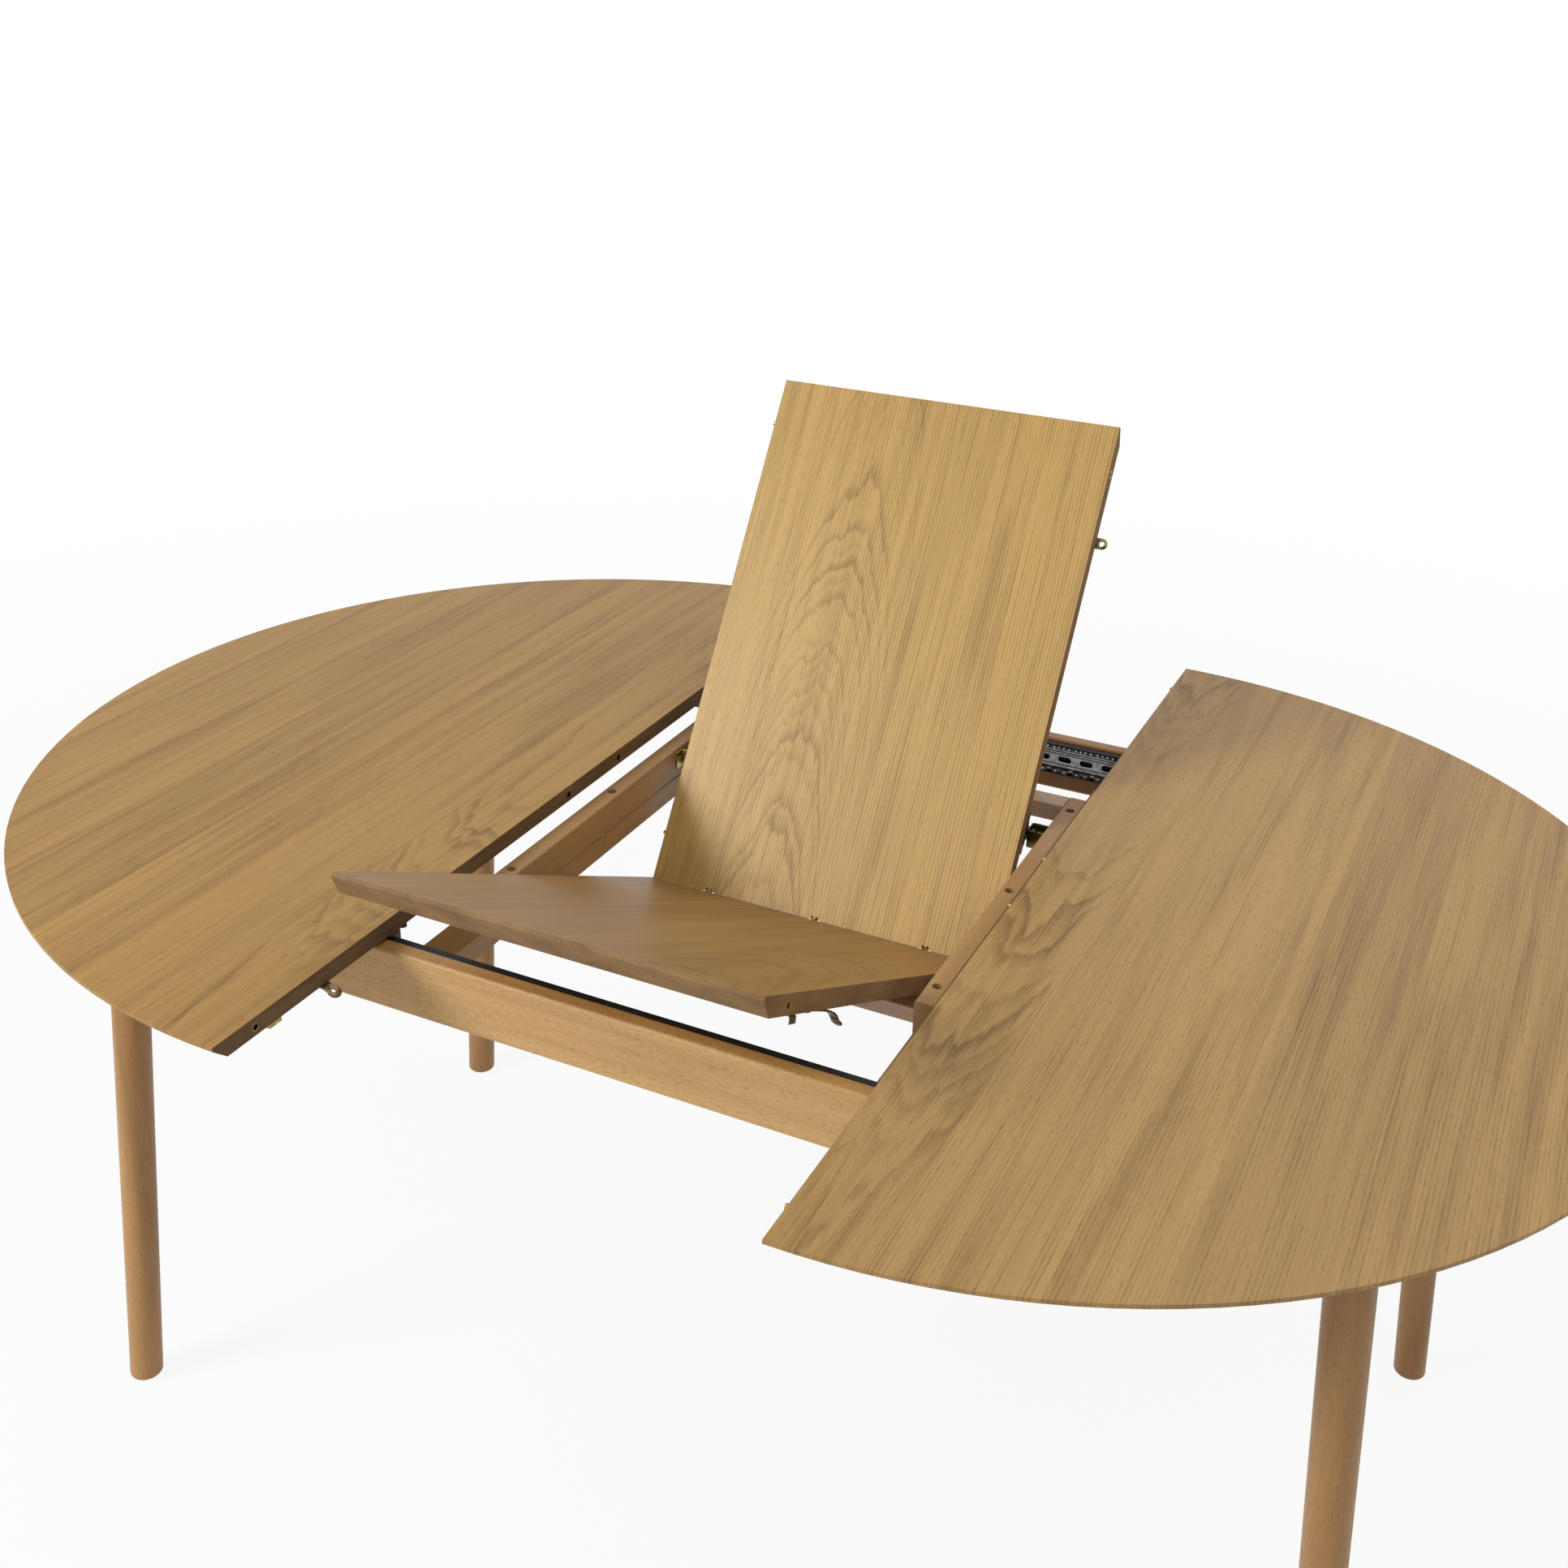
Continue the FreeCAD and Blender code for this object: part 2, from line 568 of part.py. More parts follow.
# Distances to the diagonal faces of a corner block, as the sum of x and y there.
OUTER_SUM = LEG_REACH + " + " + LEG_SPREAD + " - (leg_top_radius + block_clearance) * sqrt(2)"
INNER_SUM = OUTER_SUM + " - block_thickness * sqrt(2)"
RIM_DOWEL = "(top_radius - dowel_inset)"
LOCK_PLACE = "(top_radius - lock_inset)"
CATCH_PLACE = "(top_radius - catch_inset)"
KEEPER_PLACE = "(top_radius - keeper_inset)"
LEVER_PLACE = "(top_radius - lever_from_rim)"
for side in (-1, 1):
    word = half_name(side)

    # Half disc: a profile with a sloped underside, revolved half a turn.
    disc = doc.addObject("PartDesign::Body", word + "_disc")
    profile = sketch_on(disc, "XZ_Plane", word + "_rim_profile")
    outline(profile, [
        ("0", UNDERSIDE),
        ("top_radius - bevel_run", UNDERSIDE),
        ("top_radius", "top_height - rim_lip"),
        ("top_radius", "top_height"),
        ("0", "top_height"),
    ])
    turn = disc.newObject("PartDesign::Revolution", word + "_disc_turn")
    turn.Profile = profile
    turn.ReferenceAxis = (profile, ["V_Axis"])
    turn.Angle = 180
    turn.Midplane = True
    doc.recompute()
    tools = []
    dowels = []
    for end in (-1, 1):
        for place in ("dowel_near_middle", RIM_DOWEL):
            y = signed(end, place)
            if side < 0:
                bore = rod(word + "_bore", "+X", "0", y, DOWEL_HEIGHT, "socket_radius", "socket_depth")
                hole = rod(word + "_socket_hole", "+X", "0", y, DOWEL_HEIGHT, "socket_bore",
                           "socket_depth - lock_wall")
                dowels.append(cut(word + "_socket", bore, [hole]))
            else:
                bore = rod(word + "_bore", "+X", "0", y, DOWEL_HEIGHT, "dowel_radius", "dowel_root")
                dowels.append(rod(word + "_pin", "+X", "-dowel_nose", y, DOWEL_HEIGHT,
                                  "dowel_radius", "dowel_nose + dowel_root"))
            tools.append(bore)
    node(on_half(cut(word + "_top", disc, tools), side), word + "_top")
    label = "left_sockets" if side < 0 else "right_pins"
    node(on_half(group(label, dowels), side), label)

    # Legs: slightly tapered round legs that lean outward both ways, cut level at
    # the top and the foot, each on a glide.
    legs = []
    glides = []
    bolts = []
    blocks = []
    for end in (-1, 1):
        turned = end * side
        name = word + "_" + end_name(end) + "_leg"
        cone = doc.addObject("Part::Cone", name + "_cone")
        link(cone, "Radius1", "leg_foot_radius")
        link(cone, "Radius2", "leg_top_radius")
        link(cone, "Height", "(top_height - top_thickness) * (1 + leg_overrun * 4)")
        lean = FreeCAD.Vector(-size("leg_rake"), -size("leg_splay") * turned, size(UNDERSIDE))
        upright = FreeCAD.Vector(0, 0, 1)
        cone.Placement = FreeCAD.Placement(FreeCAD.Vector(), FreeCAD.Rotation(upright, lean))
        foot_x = LEG_REACH + " + leg_rake * (1 + leg_overrun)"
        foot_y = signed(turned, LEG_SPREAD + " + leg_splay * (1 + leg_overrun)")
        move(cone, foot_x, foot_y, "-(top_height - top_thickness) * leg_overrun")
        tilt = "atan2(hypot(leg_rake; leg_splay); top_height - top_thickness)"
        link(cone, "Placement.Rotation.Axis.x", signed(turned, "leg_splay"))
        link(cone, "Placement.Rotation.Axis.y", "-leg_rake")
        cone.setExpression("Placement.Rotation.Angle", linked(tilt))
        room = block(name + "_room", "0", signed(turned, "0") if turned > 0 else "-top_radius",
                     "glide_height", "top_radius", "top_radius",
                     UNDERSIDE + " - glide_height")
        stick = doc.addObject("Part::Common", name + "_stick")
        stick.Base = cone
        stick.Tool = room
        doc.recompute()
        foot_edge = 0
        for index, edge in enumerate(stick.Shape.Edges):
            if edge.BoundBox.ZMax < size("glide_height") + 1:
                foot_edge = index + 1
        soft = doc.addObject("Part::Fillet", name + "_soft")
        soft.Base = stick
        soft.Edges = [(foot_edge, size("foot_rounding"), size("foot_rounding"))]

        # Diagonal corner block between runner and apron, with the leg's bolt.
        apron_face = LEG_REACH + " - apron_thickness / 2"
        runner_face = "(" + RAIL_INNER + ") - slide_width - runner_width"
        spots = [
            (INNER_SUM + " - (" + runner_face + ")", runner_face),
            (OUTER_SUM + " - (" + runner_face + ")", runner_face),
            (apron_face, OUTER_SUM + " - (" + apron_face + ")"),
            (apron_face, INNER_SUM + " - (" + apron_face + ")"),
        ]
        spots = [(x, signed(turned, y)) for x, y in spots]
        wedge = extruded(name + "_wedge", "XY_Plane", spots, "block_depth", False)
        link(wedge, "Placement.Base.z", UNDERSIDE + " - block_depth")
        face_sum = "(" + LEG_REACH + " + " + LEG_SPREAD + " - (" + INNER_SUM + ")) / 2"
        bolt_x = LEG_REACH + " - (" + face_sum + ")"
        bolt_y = signed(turned, LEG_SPREAD + " - (" + face_sum + ")")
        bolt_z = UNDERSIDE + " - bolt_drop"
        diagonal = FreeCAD.Rotation(FreeCAD.Vector(0, 0, 1), FreeCAD.Vector(1, turned, 0))
        shank = doc.addObject("Part::Cylinder", name + "_bolt_shank")
        link(shank, "Radius", "bolt_radius")
        link(shank, "Height", "block_thickness + bolt_bite")
        shank.Placement = FreeCAD.Placement(FreeCAD.Vector(), diagonal)
        move(shank, bolt_x, bolt_y, bolt_z)
        nut = doc.addObject("Part::Prism", name + "_bolt_nut")
        link(nut, "Circumradius", "bolt_head_radius")
        link(nut, "Height", "bolt_head_height")
        back = FreeCAD.Rotation(FreeCAD.Vector(0, 0, 1), FreeCAD.Vector(-1, -turned, 0))
        nut.Placement = FreeCAD.Placement(FreeCAD.Vector(), back)
        move(nut, bolt_x, bolt_y, bolt_z)
        bolts.append(fuse(name + "_bolt", [shank, nut]))
        blocks.append(cut(name + "_block", wedge, [shank]))
        node(on_half(cut(name, soft, [shank]), side), name)
        glides.append(rod(name + "_glide", "+Z", LEG_REACH + " + leg_rake",
                          signed(turned, LEG_SPREAD + " + leg_splay"), "0", "glide_radius", "glide_height"))
        legs.append(cone)
    node(on_half(group(word + "_corner_blocks", blocks), side), word + "_corner_blocks")
    node(on_half(group(word + "_leg_bolts", bolts), side), word + "_leg_bolts")
    node(on_half(group(word + "_foot_glides", glides), side), word + "_foot_glides")

    # End apron between the legs, its ends hollowed to fit them.
    apron_stick = block(word + "_apron_stick", LEG_REACH + " - apron_thickness / 2", "-" + LEG_SPREAD,
                        UNDERSIDE + " - apron_depth", "apron_thickness", LEG_SPREAD + " * 2", "apron_depth")
    node(on_half(cut(word + "_end_apron", apron_stick, legs), side), word + "_end_apron")

    # Runners carry the inner members of the slides.
    runners = []
    for end in (-1, 1):
        runners.append(block(word + "_runner", "runner_start",
                             lowest(end, RAIL_INNER + " - slide_width - runner_width", "runner_width"),
                             SLIDE_BASE, LEG_REACH + " - runner_clearance - runner_start", "runner_width",
                             "(" + UNDERSIDE + ") - (" + SLIDE_BASE + ")"))
    node(on_half(group(word + "_runners", runners), side), word + "_runners")

    # Inner and middle members of the two slides of this half.
    races = []
    for end in (-1, 1):
        turned = end * side
        inner_face = "(" + RAIL_INNER + ") - slide_width"
        low = SLIDE_BASE + " + inner_rise"
        high = low + " + inner_depth"
        corners = [
            (inner_face, low),
            (inner_face + " + inner_lip", low),
            (inner_face + " + inner_lip", low + " + slide_wall"),
            (inner_face + " + slide_wall", low + " + slide_wall"),
            (inner_face + " + slide_wall", high + " - slide_wall"),
            (inner_face + " + inner_lip", high + " - slide_wall"),
            (inner_face + " + inner_lip", high),
            (inner_face, high),
        ]
        corners = [(signed(turned, y), z) for y, z in corners]
        name = word + "_" + end_name(end) + "_slide_inner"
        member = extruded(name + "_member", "YZ_Plane", corners, "inner_length", False)
        link(member, "Placement.Base.x", "inner_start")
        node(on_half(group(name, [member]), side), name)

        web = inner_face + " + middle_inset"
        low = SLIDE_BASE + " + middle_rise"
        high = low + " + middle_depth"
        corners = [
            (web, low),
            (web, high),
            (web + " - middle_lip", high),
            (web + " - middle_lip", high + " - slide_wall"),
            (web + " - slide_wall", high + " - slide_wall"),
            (web + " - slide_wall", low + " + slide_wall"),
            (web + " - middle_lip", low + " + slide_wall"),
            (web + " - middle_lip", low),
        ]
        corners = [(signed(turned, y), z) for y, z in corners]
        name = word + "_" + end_name(end) + "_slide_middle"
        member = extruded(name + "_member", "YZ_Plane", corners, "middle_length", False)
        slots = sketch_on(member, "XZ_Plane", name + "_slots")
        half_slot = "(slot_length - slot_height) / 2"
        level = low + " + middle_depth / 2"
        centre_a = ("slot_margin - " + half_slot, level)
        centre_b = ("slot_margin + " + half_slot, level)
        start_x = size(centre_a[0])
        stop_x = size(centre_b[0])
        mid_z = size(level)
        reach = size("slot_height / 2")
        up = FreeCAD.Vector(0, 0, 1)
        quarter = math.pi / 2
        round_a = Part.Circle(FreeCAD.Vector(start_x, mid_z, 0), up, reach)
        round_b = Part.Circle(FreeCAD.Vector(stop_x, mid_z, 0), up, reach)
        cap_a = Part.ArcOfCircle(round_a, quarter, 3 * quarter)
        cap_b = Part.ArcOfCircle(round_b, -quarter, quarter)
        first = slots.addGeometry(cap_a, False)
        second = slots.addGeometry(cap_b, False)
        base = slots.addGeometry(Part.LineSegment(FreeCAD.Vector(start_x, mid_z - reach, 0),
                                                  FreeCAD.Vector(stop_x, mid_z - reach, 0)), False)
        roof = slots.addGeometry(Part.LineSegment(FreeCAD.Vector(start_x, mid_z + reach, 0),
                                                  FreeCAD.Vector(stop_x, mid_z + reach, 0)), False)
        slots.addConstraint(Sketcher.Constraint("Tangent", first, 2, base, 1))
        slots.addConstraint(Sketcher.Constraint("Tangent", base, 2, second, 1))
        slots.addConstraint(Sketcher.Constraint("Tangent", second, 2, roof, 2))
        slots.addConstraint(Sketcher.Constraint("Tangent", roof, 1, first, 1))
        slots.addConstraint(Sketcher.Constraint("Horizontal", base))
        slots.addConstraint(Sketcher.Constraint("Radius", first, reach))
        link(slots, "Constraints[" + str(slots.ConstraintCount - 1) + "]", "slot_height / 2")
        pin_point(slots, first, 3, "X", centre_a[0])
        pin_point(slots, first, 3, "Y", centre_a[1])
        pin_point(slots, second, 3, "X", centre_b[0])
        before = member.Shape.Volume
        punch = member.newObject("PartDesign::Pocket", name + "_punch")
        punch.Profile = slots
        punch.Type = "ThroughAll"
        punch.Midplane = True
        doc.recompute()
        row = member.newObject("PartDesign::LinearPattern", name + "_row")
        row.Originals = [punch]
        row.Direction = (slots, ["H_Axis"])
        count = "floor((middle_length - slot_margin * 2) / slot_pitch) + 1"
        link(row, "Length", "slot_pitch * floor((middle_length - slot_margin * 2) / slot_pitch)")
        link(row, "Occurrences", count)
        member.Tip = row
        doc.recompute()
        if member.Shape.Volume > before - 1:
            failed.append(name + " has no slots")
        link(member, "Placement.Base.x", "-middle_lag")
        node(on_half(group(name, [member]), side), name)

        # Ball retainers above and below the middle member.
        band = web + " - race_width"
        for level in (high + " + race_gap", low + " - race_gap - race_depth"):
            races.append(block(name + "_race", "-middle_lag", lowest(turned, band, "race_width"), level,
                               "middle_length", "race_width", "race_depth"))
    node(on_half(group(word + "_ball_retainers", races), side), word + "_ball_retainers")

    # The left half has a lock plate with a round, holed end that stands out of the
    # split edge. The right half has a keeper block for the leaf's tab and a strike
    # for its lever. Each half has a catch block near the rim.
    locks = [block(word + "_catch", "0", CATCH_PLACE + " - catch_width / 2", UNDERSIDE + " - catch_depth",
                   "catch_length", "catch_width", "catch_depth")]
    if side < 0:
        plate_z = UNDERSIDE + " - lock_wall * 2"
        plate = block(word + "_lock_bar", "-lock_nose", LOCK_PLACE + " - lock_width / 2", plate_z,
                      "lock_nose + lock_tail", "lock_width", "lock_wall")
        nose = rod(word + "_lock_round", "+Z", "-lock_nose", LOCK_PLACE, plate_z,
                   "lock_width / 2", "lock_wall")
        spacer = block(word + "_lock_pad", "lock_wall", LOCK_PLACE + " - lock_width / 2",
                       plate_z + " + lock_wall", "lock_tail - lock_wall", "lock_width", "lock_wall")
        eye = rod(word + "_lock_eye", "+Z", "-lock_nose", LOCK_PLACE, plate_z, "lock_eye", "lock_wall")
        blank = fuse(word + "_lock_blank", [plate, nose, spacer])
        locks.append(cut(word + "_lock_plate", blank, [eye]))
    else:
        locks.append(block(word + "_keeper", "0", KEEPER_PLACE + " - keeper_width / 2",
                           UNDERSIDE + " - keeper_depth", "stop_length", "keeper_width", "keeper_depth"))
        locks.append(block(word + "_strike", "strike_back", "-" + LEVER_PLACE + " - lever_width",
                           UNDERSIDE + " - strike_drop", "lever_width", "lever_width * 2", "strike_drop"))
    node(on_half(group(word + "_lock_plates", locks), side), word + "_lock_plates")

    # Plastic slide stops over the slides and round bumpers by the split edge.
    stops = []
    for end in (-1, 1):
        stops.append(block(word + "_stop", "0",
                           lowest(end, RAIL_INNER + " - slide_width + race_gap",
                                  "slide_width - race_gap * 2"),
                           UNDERSIDE + " - stop_height", "stop_length", "slide_width - race_gap * 2",
                           "stop_height"))
        stops.append(rod(word + "_bumper", "-Z", "bumper_back",
                         signed(end, RAIL_INNER + " - bumper_inset"), UNDERSIDE,
                         "bumper_radius", "bumper_height"))
    node(on_half(group(word + "_slide_stops", stops), side), word + "_slide_stops")

# ---------------------------------------------------------------- the leaf
# Each panel is drawn flat with the fold axis at the origin of its drawing and
# then leaned about that axis. The far panel runs to +Y, the near panel to -Y.
LEAN = "(far_lean_angle * 1 deg)"
FOLD_Y = "pivot_reach * (1 - cos(" + LEAN + ")) - pivot_drop * sin(" + LEAN + ")"
FOLD_Z = PIVOT_HEIGHT + " - pivot_reach * sin(" + LEAN + ") + pivot_drop * cos(" + LEAN + ")"


def on_leaf(item, way):
    """Lean a piece with its panel: +1 is the far panel, -1 the near one."""
    item.Placement = FreeCAD.Placement(FreeCAD.Vector(), FreeCAD.Rotation(FreeCAD.Vector(1, 0, 0), 1))
    link(item, "Placement.Rotation.Angle", "far_lean_angle" if way > 0 else "-near_lean_angle")
    move(item, "0", FOLD_Y, FOLD_Z)
    return item


FACE = "-fold_rise"
BACK = "-fold_rise - top_thickness"
AXIS = "-fold_rise - dowel_drop"
for way in (-1, 1):
    word = "far" if way > 0 else "near"
    ends = [
        ("panel_gap", FACE),
        ("top_radius", FACE),
        ("top_radius", FACE + " - rim_lip"),
        ("top_radius - bevel_run", BACK),
        ("panel_gap", BACK),
    ]
    ends = [(signed(way, y), z) for y, z in ends]
    slab = extruded(word + "_slab", "YZ_Plane", ends, "leaf_width", True)
    tools = []
    dowels = []
    for place in ("dowel_near_middle", RIM_DOWEL):
        y = signed(way, place)
        tools.append(rod(word + "_pin_bore", "+X", "-leaf_width / 2", y, AXIS, "dowel_radius", "dowel_root"))
        dowels.append(rod(word + "_leaf_pin", "+X", "-leaf_width / 2 - dowel_nose", y, AXIS,
                          "dowel_radius", "dowel_nose + dowel_root"))
        bore = rod(word + "_socket_bore", "-X", "leaf_width / 2", y, AXIS, "socket_radius", "socket_depth")
        hole = rod(word + "_socket_hole", "-X", "leaf_width / 2", y, AXIS, "socket_bore",
                   "socket_depth - lock_wall")
        tools.append(bore)
        dowels.append(cut(word + "_leaf_socket", bore, [hole]))

    # Barrel hinges: a brass barrel in the edge with a lug and a small knuckle.
    barrels = []
    for step in (-1, 0, 1):
        x = "barrel_pitch * " + str(step)
        drum = rod(word + "_drum", "+Y" if way > 0 else "-Y", x, signed(way, "panel_gap"),
                   "-barrel_drop", "barrel_radius", "barrel_length")
        recess = block(word + "_recess",
                       x + " - knuckle_width / 2 - knuckle_gap - side_knuckle - knuckle_gap",
                       lowest(way, "panel_gap", "lug_reach"), "-barrel_drop",
                       "knuckle_width + side_knuckle * 2 + knuckle_gap * 4", "lug_reach", "barrel_drop")
        tools.append(drum)
        tools.append(recess)
        if way > 0:
            lug = block(word + "_lug", x + " - knuckle_width / 2", "panel_gap", "-barrel_drop",
                        "knuckle_width", "lug_reach - panel_gap", "barrel_drop - fold_rise")
            eye = rod(word + "_knuckle", "+X", x + " - knuckle_width / 2", "0", "0",
                      "knuckle_radius", "knuckle_width")
            pieces = [drum, lug, eye]
        else:
            pieces = [drum]
            for hand in (-1, 1):
                inner = "knuckle_width / 2 + knuckle_gap"
                left = x + " + " + lowest(hand, inner, "side_knuckle")
                pieces.append(block(word + "_lug", left, "-lug_reach", "-barrel_drop", "side_knuckle",
                                    "lug_reach - panel_gap", "barrel_drop - fold_rise"))
                pieces.append(rod(word + "_knuckle", "+X", left, "0", "0", "knuckle_radius", "side_knuckle"))
        play = "running_clearance" if way < 0 else "0"
        pin_hole = rod(word + "_pin_hole", "+X", x + " - knuckle_width", "0", "0",
                       "hinge_pin_radius + " + play, "knuckle_width * 2")
        barrels.append(cut(word + "_barrel", fuse(word + "_barrel_blank", pieces), [pin_hole]))
    label = word + "_hinge_barrels"
    node(on_leaf(group(label, barrels), way), label)
    panel = cut("leaf_" + word + "_panel", slab, tools)
    node(on_leaf(panel, way), "leaf_" + word + "_panel")
    node(on_leaf(group(word + "_leaf_dowels", dowels), way), word + "_leaf_dowels")

# The hinge pins run through the knuckles on the fold axis.
pins = []
for step in (-1, 0, 1):
    reach = "knuckle_width / 2 + knuckle_gap + side_knuckle"
    pins.append(rod("hinge_pin", "+X", "barrel_pitch * " + str(step) + " - (" + reach + ")", "0", "0",
                    "hinge_pin_radius", "(" + reach + ") * 2"))
node(on_leaf(group("hinge_pins", pins), 1), "hinge_pins")

# Pivot plates: angle plates under the far panel with an eye round each pivot.
plates = []
for side in (-1, 1):
    outer = "leaf_width / 2 - plate_inset"
    foot = block("plate_foot", lowest(side, outer + " - plate_foot", "plate_foot"), "plate_start",
                 BACK + " - plate_wall", "plate_foot", "plate_length", "plate_wall")
    flange = block("plate_flange", lowest(side, outer + " - plate_wall", "plate_wall"), "plate_start",
                   BACK + " - plate_drop", "plate_wall", "plate_length", "plate_drop")
    lobe = rod("plate_lobe", "+X", lowest(side, outer + " - plate_wall", "plate_wall"), "pivot_reach",
               "-pivot_drop", "plate_lobe", "plate_wall")
    hole = rod("plate_hole", "+X", lowest(side, outer + " - plate_wall * 2", "plate_wall * 3"),
               "pivot_reach", "-pivot_drop", "pivot_radius + running_clearance", "plate_wall * 3")
    plates.append(cut("pivot_plate", fuse("plate_blank", [foot, flange, lobe]), [hole]))
node(on_leaf(group("pivot_plates", plates), 1), "pivot_plates")

# Locks under the leaf: holed tabs at the right edge, a button and a strike at
# the left edge, and a latch lever that swings out from under the near panel.
edge = "leaf_width / 2"
TAB_Z = BACK + " - tab_wall - race_gap"
for way in (-1, 1):
    word = "far" if way > 0 else "near"
    place = signed(way, "top_radius - " + word + "_tab_inset")
    bar = block(word + "_tab_bar", edge + " - tab_root", place + " - tab_width / 2", TAB_Z,
                "tab_root + tab_nose", "tab_width", "tab_wall")
    nose = rod(word + "_tab_round", "+Z", edge + " + tab_nose", place, TAB_Z, "tab_width / 2", "tab_wall")
    pad_block = block(word + "_tab_pad", edge + " - tab_root", place + " - tab_width / 2",
                      TAB_Z + " + tab_wall", "tab_root - race_gap * 2", "tab_width", "race_gap")
    eye = rod(word + "_tab_eye", "+Z", edge + " + tab_nose", place, TAB_Z, "lock_eye", "tab_wall")
    tab = cut(word + "_tab", fuse(word + "_tab_blank", [bar, nose, pad_block]), [eye])
    if way > 0:
        other = rod("far_button", "-Z", "-" + edge + " + button_set",
                    "top_radius - button_inset", BACK, "button_radius", "button_height")
    else:
        other = block("near_strike", "-" + edge, "strike_inset - top_radius - strike_width / 2",
                      BACK + " - tab_wall * 2", "strike_length", "strike_width", "tab_wall * 2")
    extra = [tab, other]
    if way < 0:
        spacer = rod("lever_spacer", "-Z", edge + " - lever_inset", "-" + LEVER_PLACE, BACK,
                     "lever_width / 2", "lever_washer")
        post = rod("lever_post", "-Z", edge + " - lever_inset", "-" + LEVER_PLACE, BACK,
                   "pivot_radius", "lever_washer + race_gap * 2 + lever_wall")
        cap = rod("lever_cap", "-Z", edge + " - lever_inset", "-" + LEVER_PLACE,
                  BACK + " - lever_washer - race_gap * 2 - lever_wall",
                  "lever_width / 2 - cap_step", "tab_wall")
        extra.append(fuse("lever_pivot", [spacer, post, cap]))
    label = word + "_leaf_locks"
    node(on_leaf(group(label, extra), way), label)

LEVER_Z = BACK + " - lever_washer - race_gap / 2 - lever_wall"
arm = block("lever_arm", edge + " - lever_inset - lever_width / 2", "-" + LEVER_PLACE, LEVER_Z,
            "lever_width", "lever_length", "lever_wall")
boss = rod("lever_boss", "+Z", edge + " - lever_inset", "-" + LEVER_PLACE, LEVER_Z,
           "lever_width / 2", "lever_wall")
hook = block("lever_hook", edge + " - lever_inset - lever_width / 2",
             "-" + LEVER_PLACE + " + lever_length - lever_wall", LEVER_Z + " - lever_hook",
             "lever_width", "lever_wall", "lever_hook")
hole = rod("lever_hole", "+Z", edge + " - lever_inset", "-" + LEVER_PLACE, LEVER_Z,
           "pivot_radius + running_clearance", "lever_wall")
lever = cut("leaf_latch_lever", fuse("lever_blank", [arm, boss, hook]), [hole])
node(on_leaf(lever, -1), "leaf_latch_lever")

# ---------------------------------------------------------------- check and write
doc.recompute()
for item in doc.Objects:
    if "Invalid" in item.State or "Error" in item.State:
        failed.append(item.Label + " " + str(item.State))
for item in nodes:
    shape = item.Shape
    if shape.isNull() or not shape.isValid() or not shape.Solids:
        failed.append(item.Label + " has no valid solid")
if failed:
    raise RuntimeError("; ".join(failed))
for item in nodes:
    item.Shape.exportStep("parts/" + item.Label + ".step")
print(len(nodes), "sub-parts written")
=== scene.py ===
import math

import bpy
from mathutils import Matrix, Vector


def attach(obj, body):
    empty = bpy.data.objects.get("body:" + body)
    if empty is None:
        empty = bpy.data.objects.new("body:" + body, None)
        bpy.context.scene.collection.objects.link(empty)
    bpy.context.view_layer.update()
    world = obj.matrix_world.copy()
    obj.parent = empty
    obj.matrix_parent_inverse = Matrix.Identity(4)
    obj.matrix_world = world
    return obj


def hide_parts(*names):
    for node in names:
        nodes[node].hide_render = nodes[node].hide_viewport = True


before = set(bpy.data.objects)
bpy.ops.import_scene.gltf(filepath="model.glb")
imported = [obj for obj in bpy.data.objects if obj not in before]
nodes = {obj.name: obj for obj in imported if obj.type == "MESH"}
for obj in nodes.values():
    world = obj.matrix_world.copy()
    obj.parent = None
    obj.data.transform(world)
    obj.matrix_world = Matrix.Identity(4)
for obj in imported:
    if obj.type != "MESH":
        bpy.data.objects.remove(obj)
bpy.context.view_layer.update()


# ---------------------------------------------------------------------------
# The room. The opened table stands on a plain pale floor and is looked down on
# from its front right corner, by a long lens that takes in the gap between the
# two halves and the leaf that rises out of it.
PICTURE_WIDTH = 1932.0
SENSOR_WIDTH = 36.0
EYE = Vector((0.702370, -1.529716, 1.630611))
TILT, ROLL, TURN = -0.4036, -0.0286, 0.4332
FOCUS, CENTRE_ACROSS, CENTRE_DOWN = 2240.988, 987.943, 832.078
FARTHEST_SEEN = 200.0

eye_data = bpy.data.cameras.new("eye")
eye_data.sensor_width = SENSOR_WIDTH
eye_data.lens = FOCUS / PICTURE_WIDTH * SENSOR_WIDTH
eye_data.shift_x = (PICTURE_WIDTH / 2 - CENTRE_ACROSS) / PICTURE_WIDTH
eye_data.shift_y = (CENTRE_DOWN - PICTURE_WIDTH / 2) / PICTURE_WIDTH
eye_data.clip_end = FARTHEST_SEEN
eye = bpy.data.objects.new("eye", eye_data)
bpy.context.scene.collection.objects.link(eye)
looking = (
    Matrix.Rotation(TURN, 3, "Z") @ Matrix.Rotation(TILT, 3, "X") @ Matrix.Rotation(ROLL, 3, "Y")
)
right, ahead, above = looking.col
eye.matrix_world = Matrix.Translation(EYE) @ Matrix((right, above, -ahead)).transposed().to_4x4()
bpy.context.scene.camera = eye


def add(tree, kind, feeds=None, **settings):
    """One shader node: settings are its own, feeds go to its sockets by name or number."""
    made = tree.nodes.new("ShaderNode" + kind)
    for name, value in settings.items():
        setattr(made, name, value)
    for socket, value in (feeds or {}).items():
        if isinstance(value, bpy.types.NodeSocket):
            tree.links.new(value, made.inputs[socket])
        else:
            made.inputs[socket].default_value = value
    return made


def compute(tree, operation, first, second=0.0, third=0.0, clamp=False):
    """One sum on numbers."""
    return add(
        tree, "Math", {0: first, 1: second, 2: third}, operation=operation, use_clamp=clamp
    ).outputs[0]


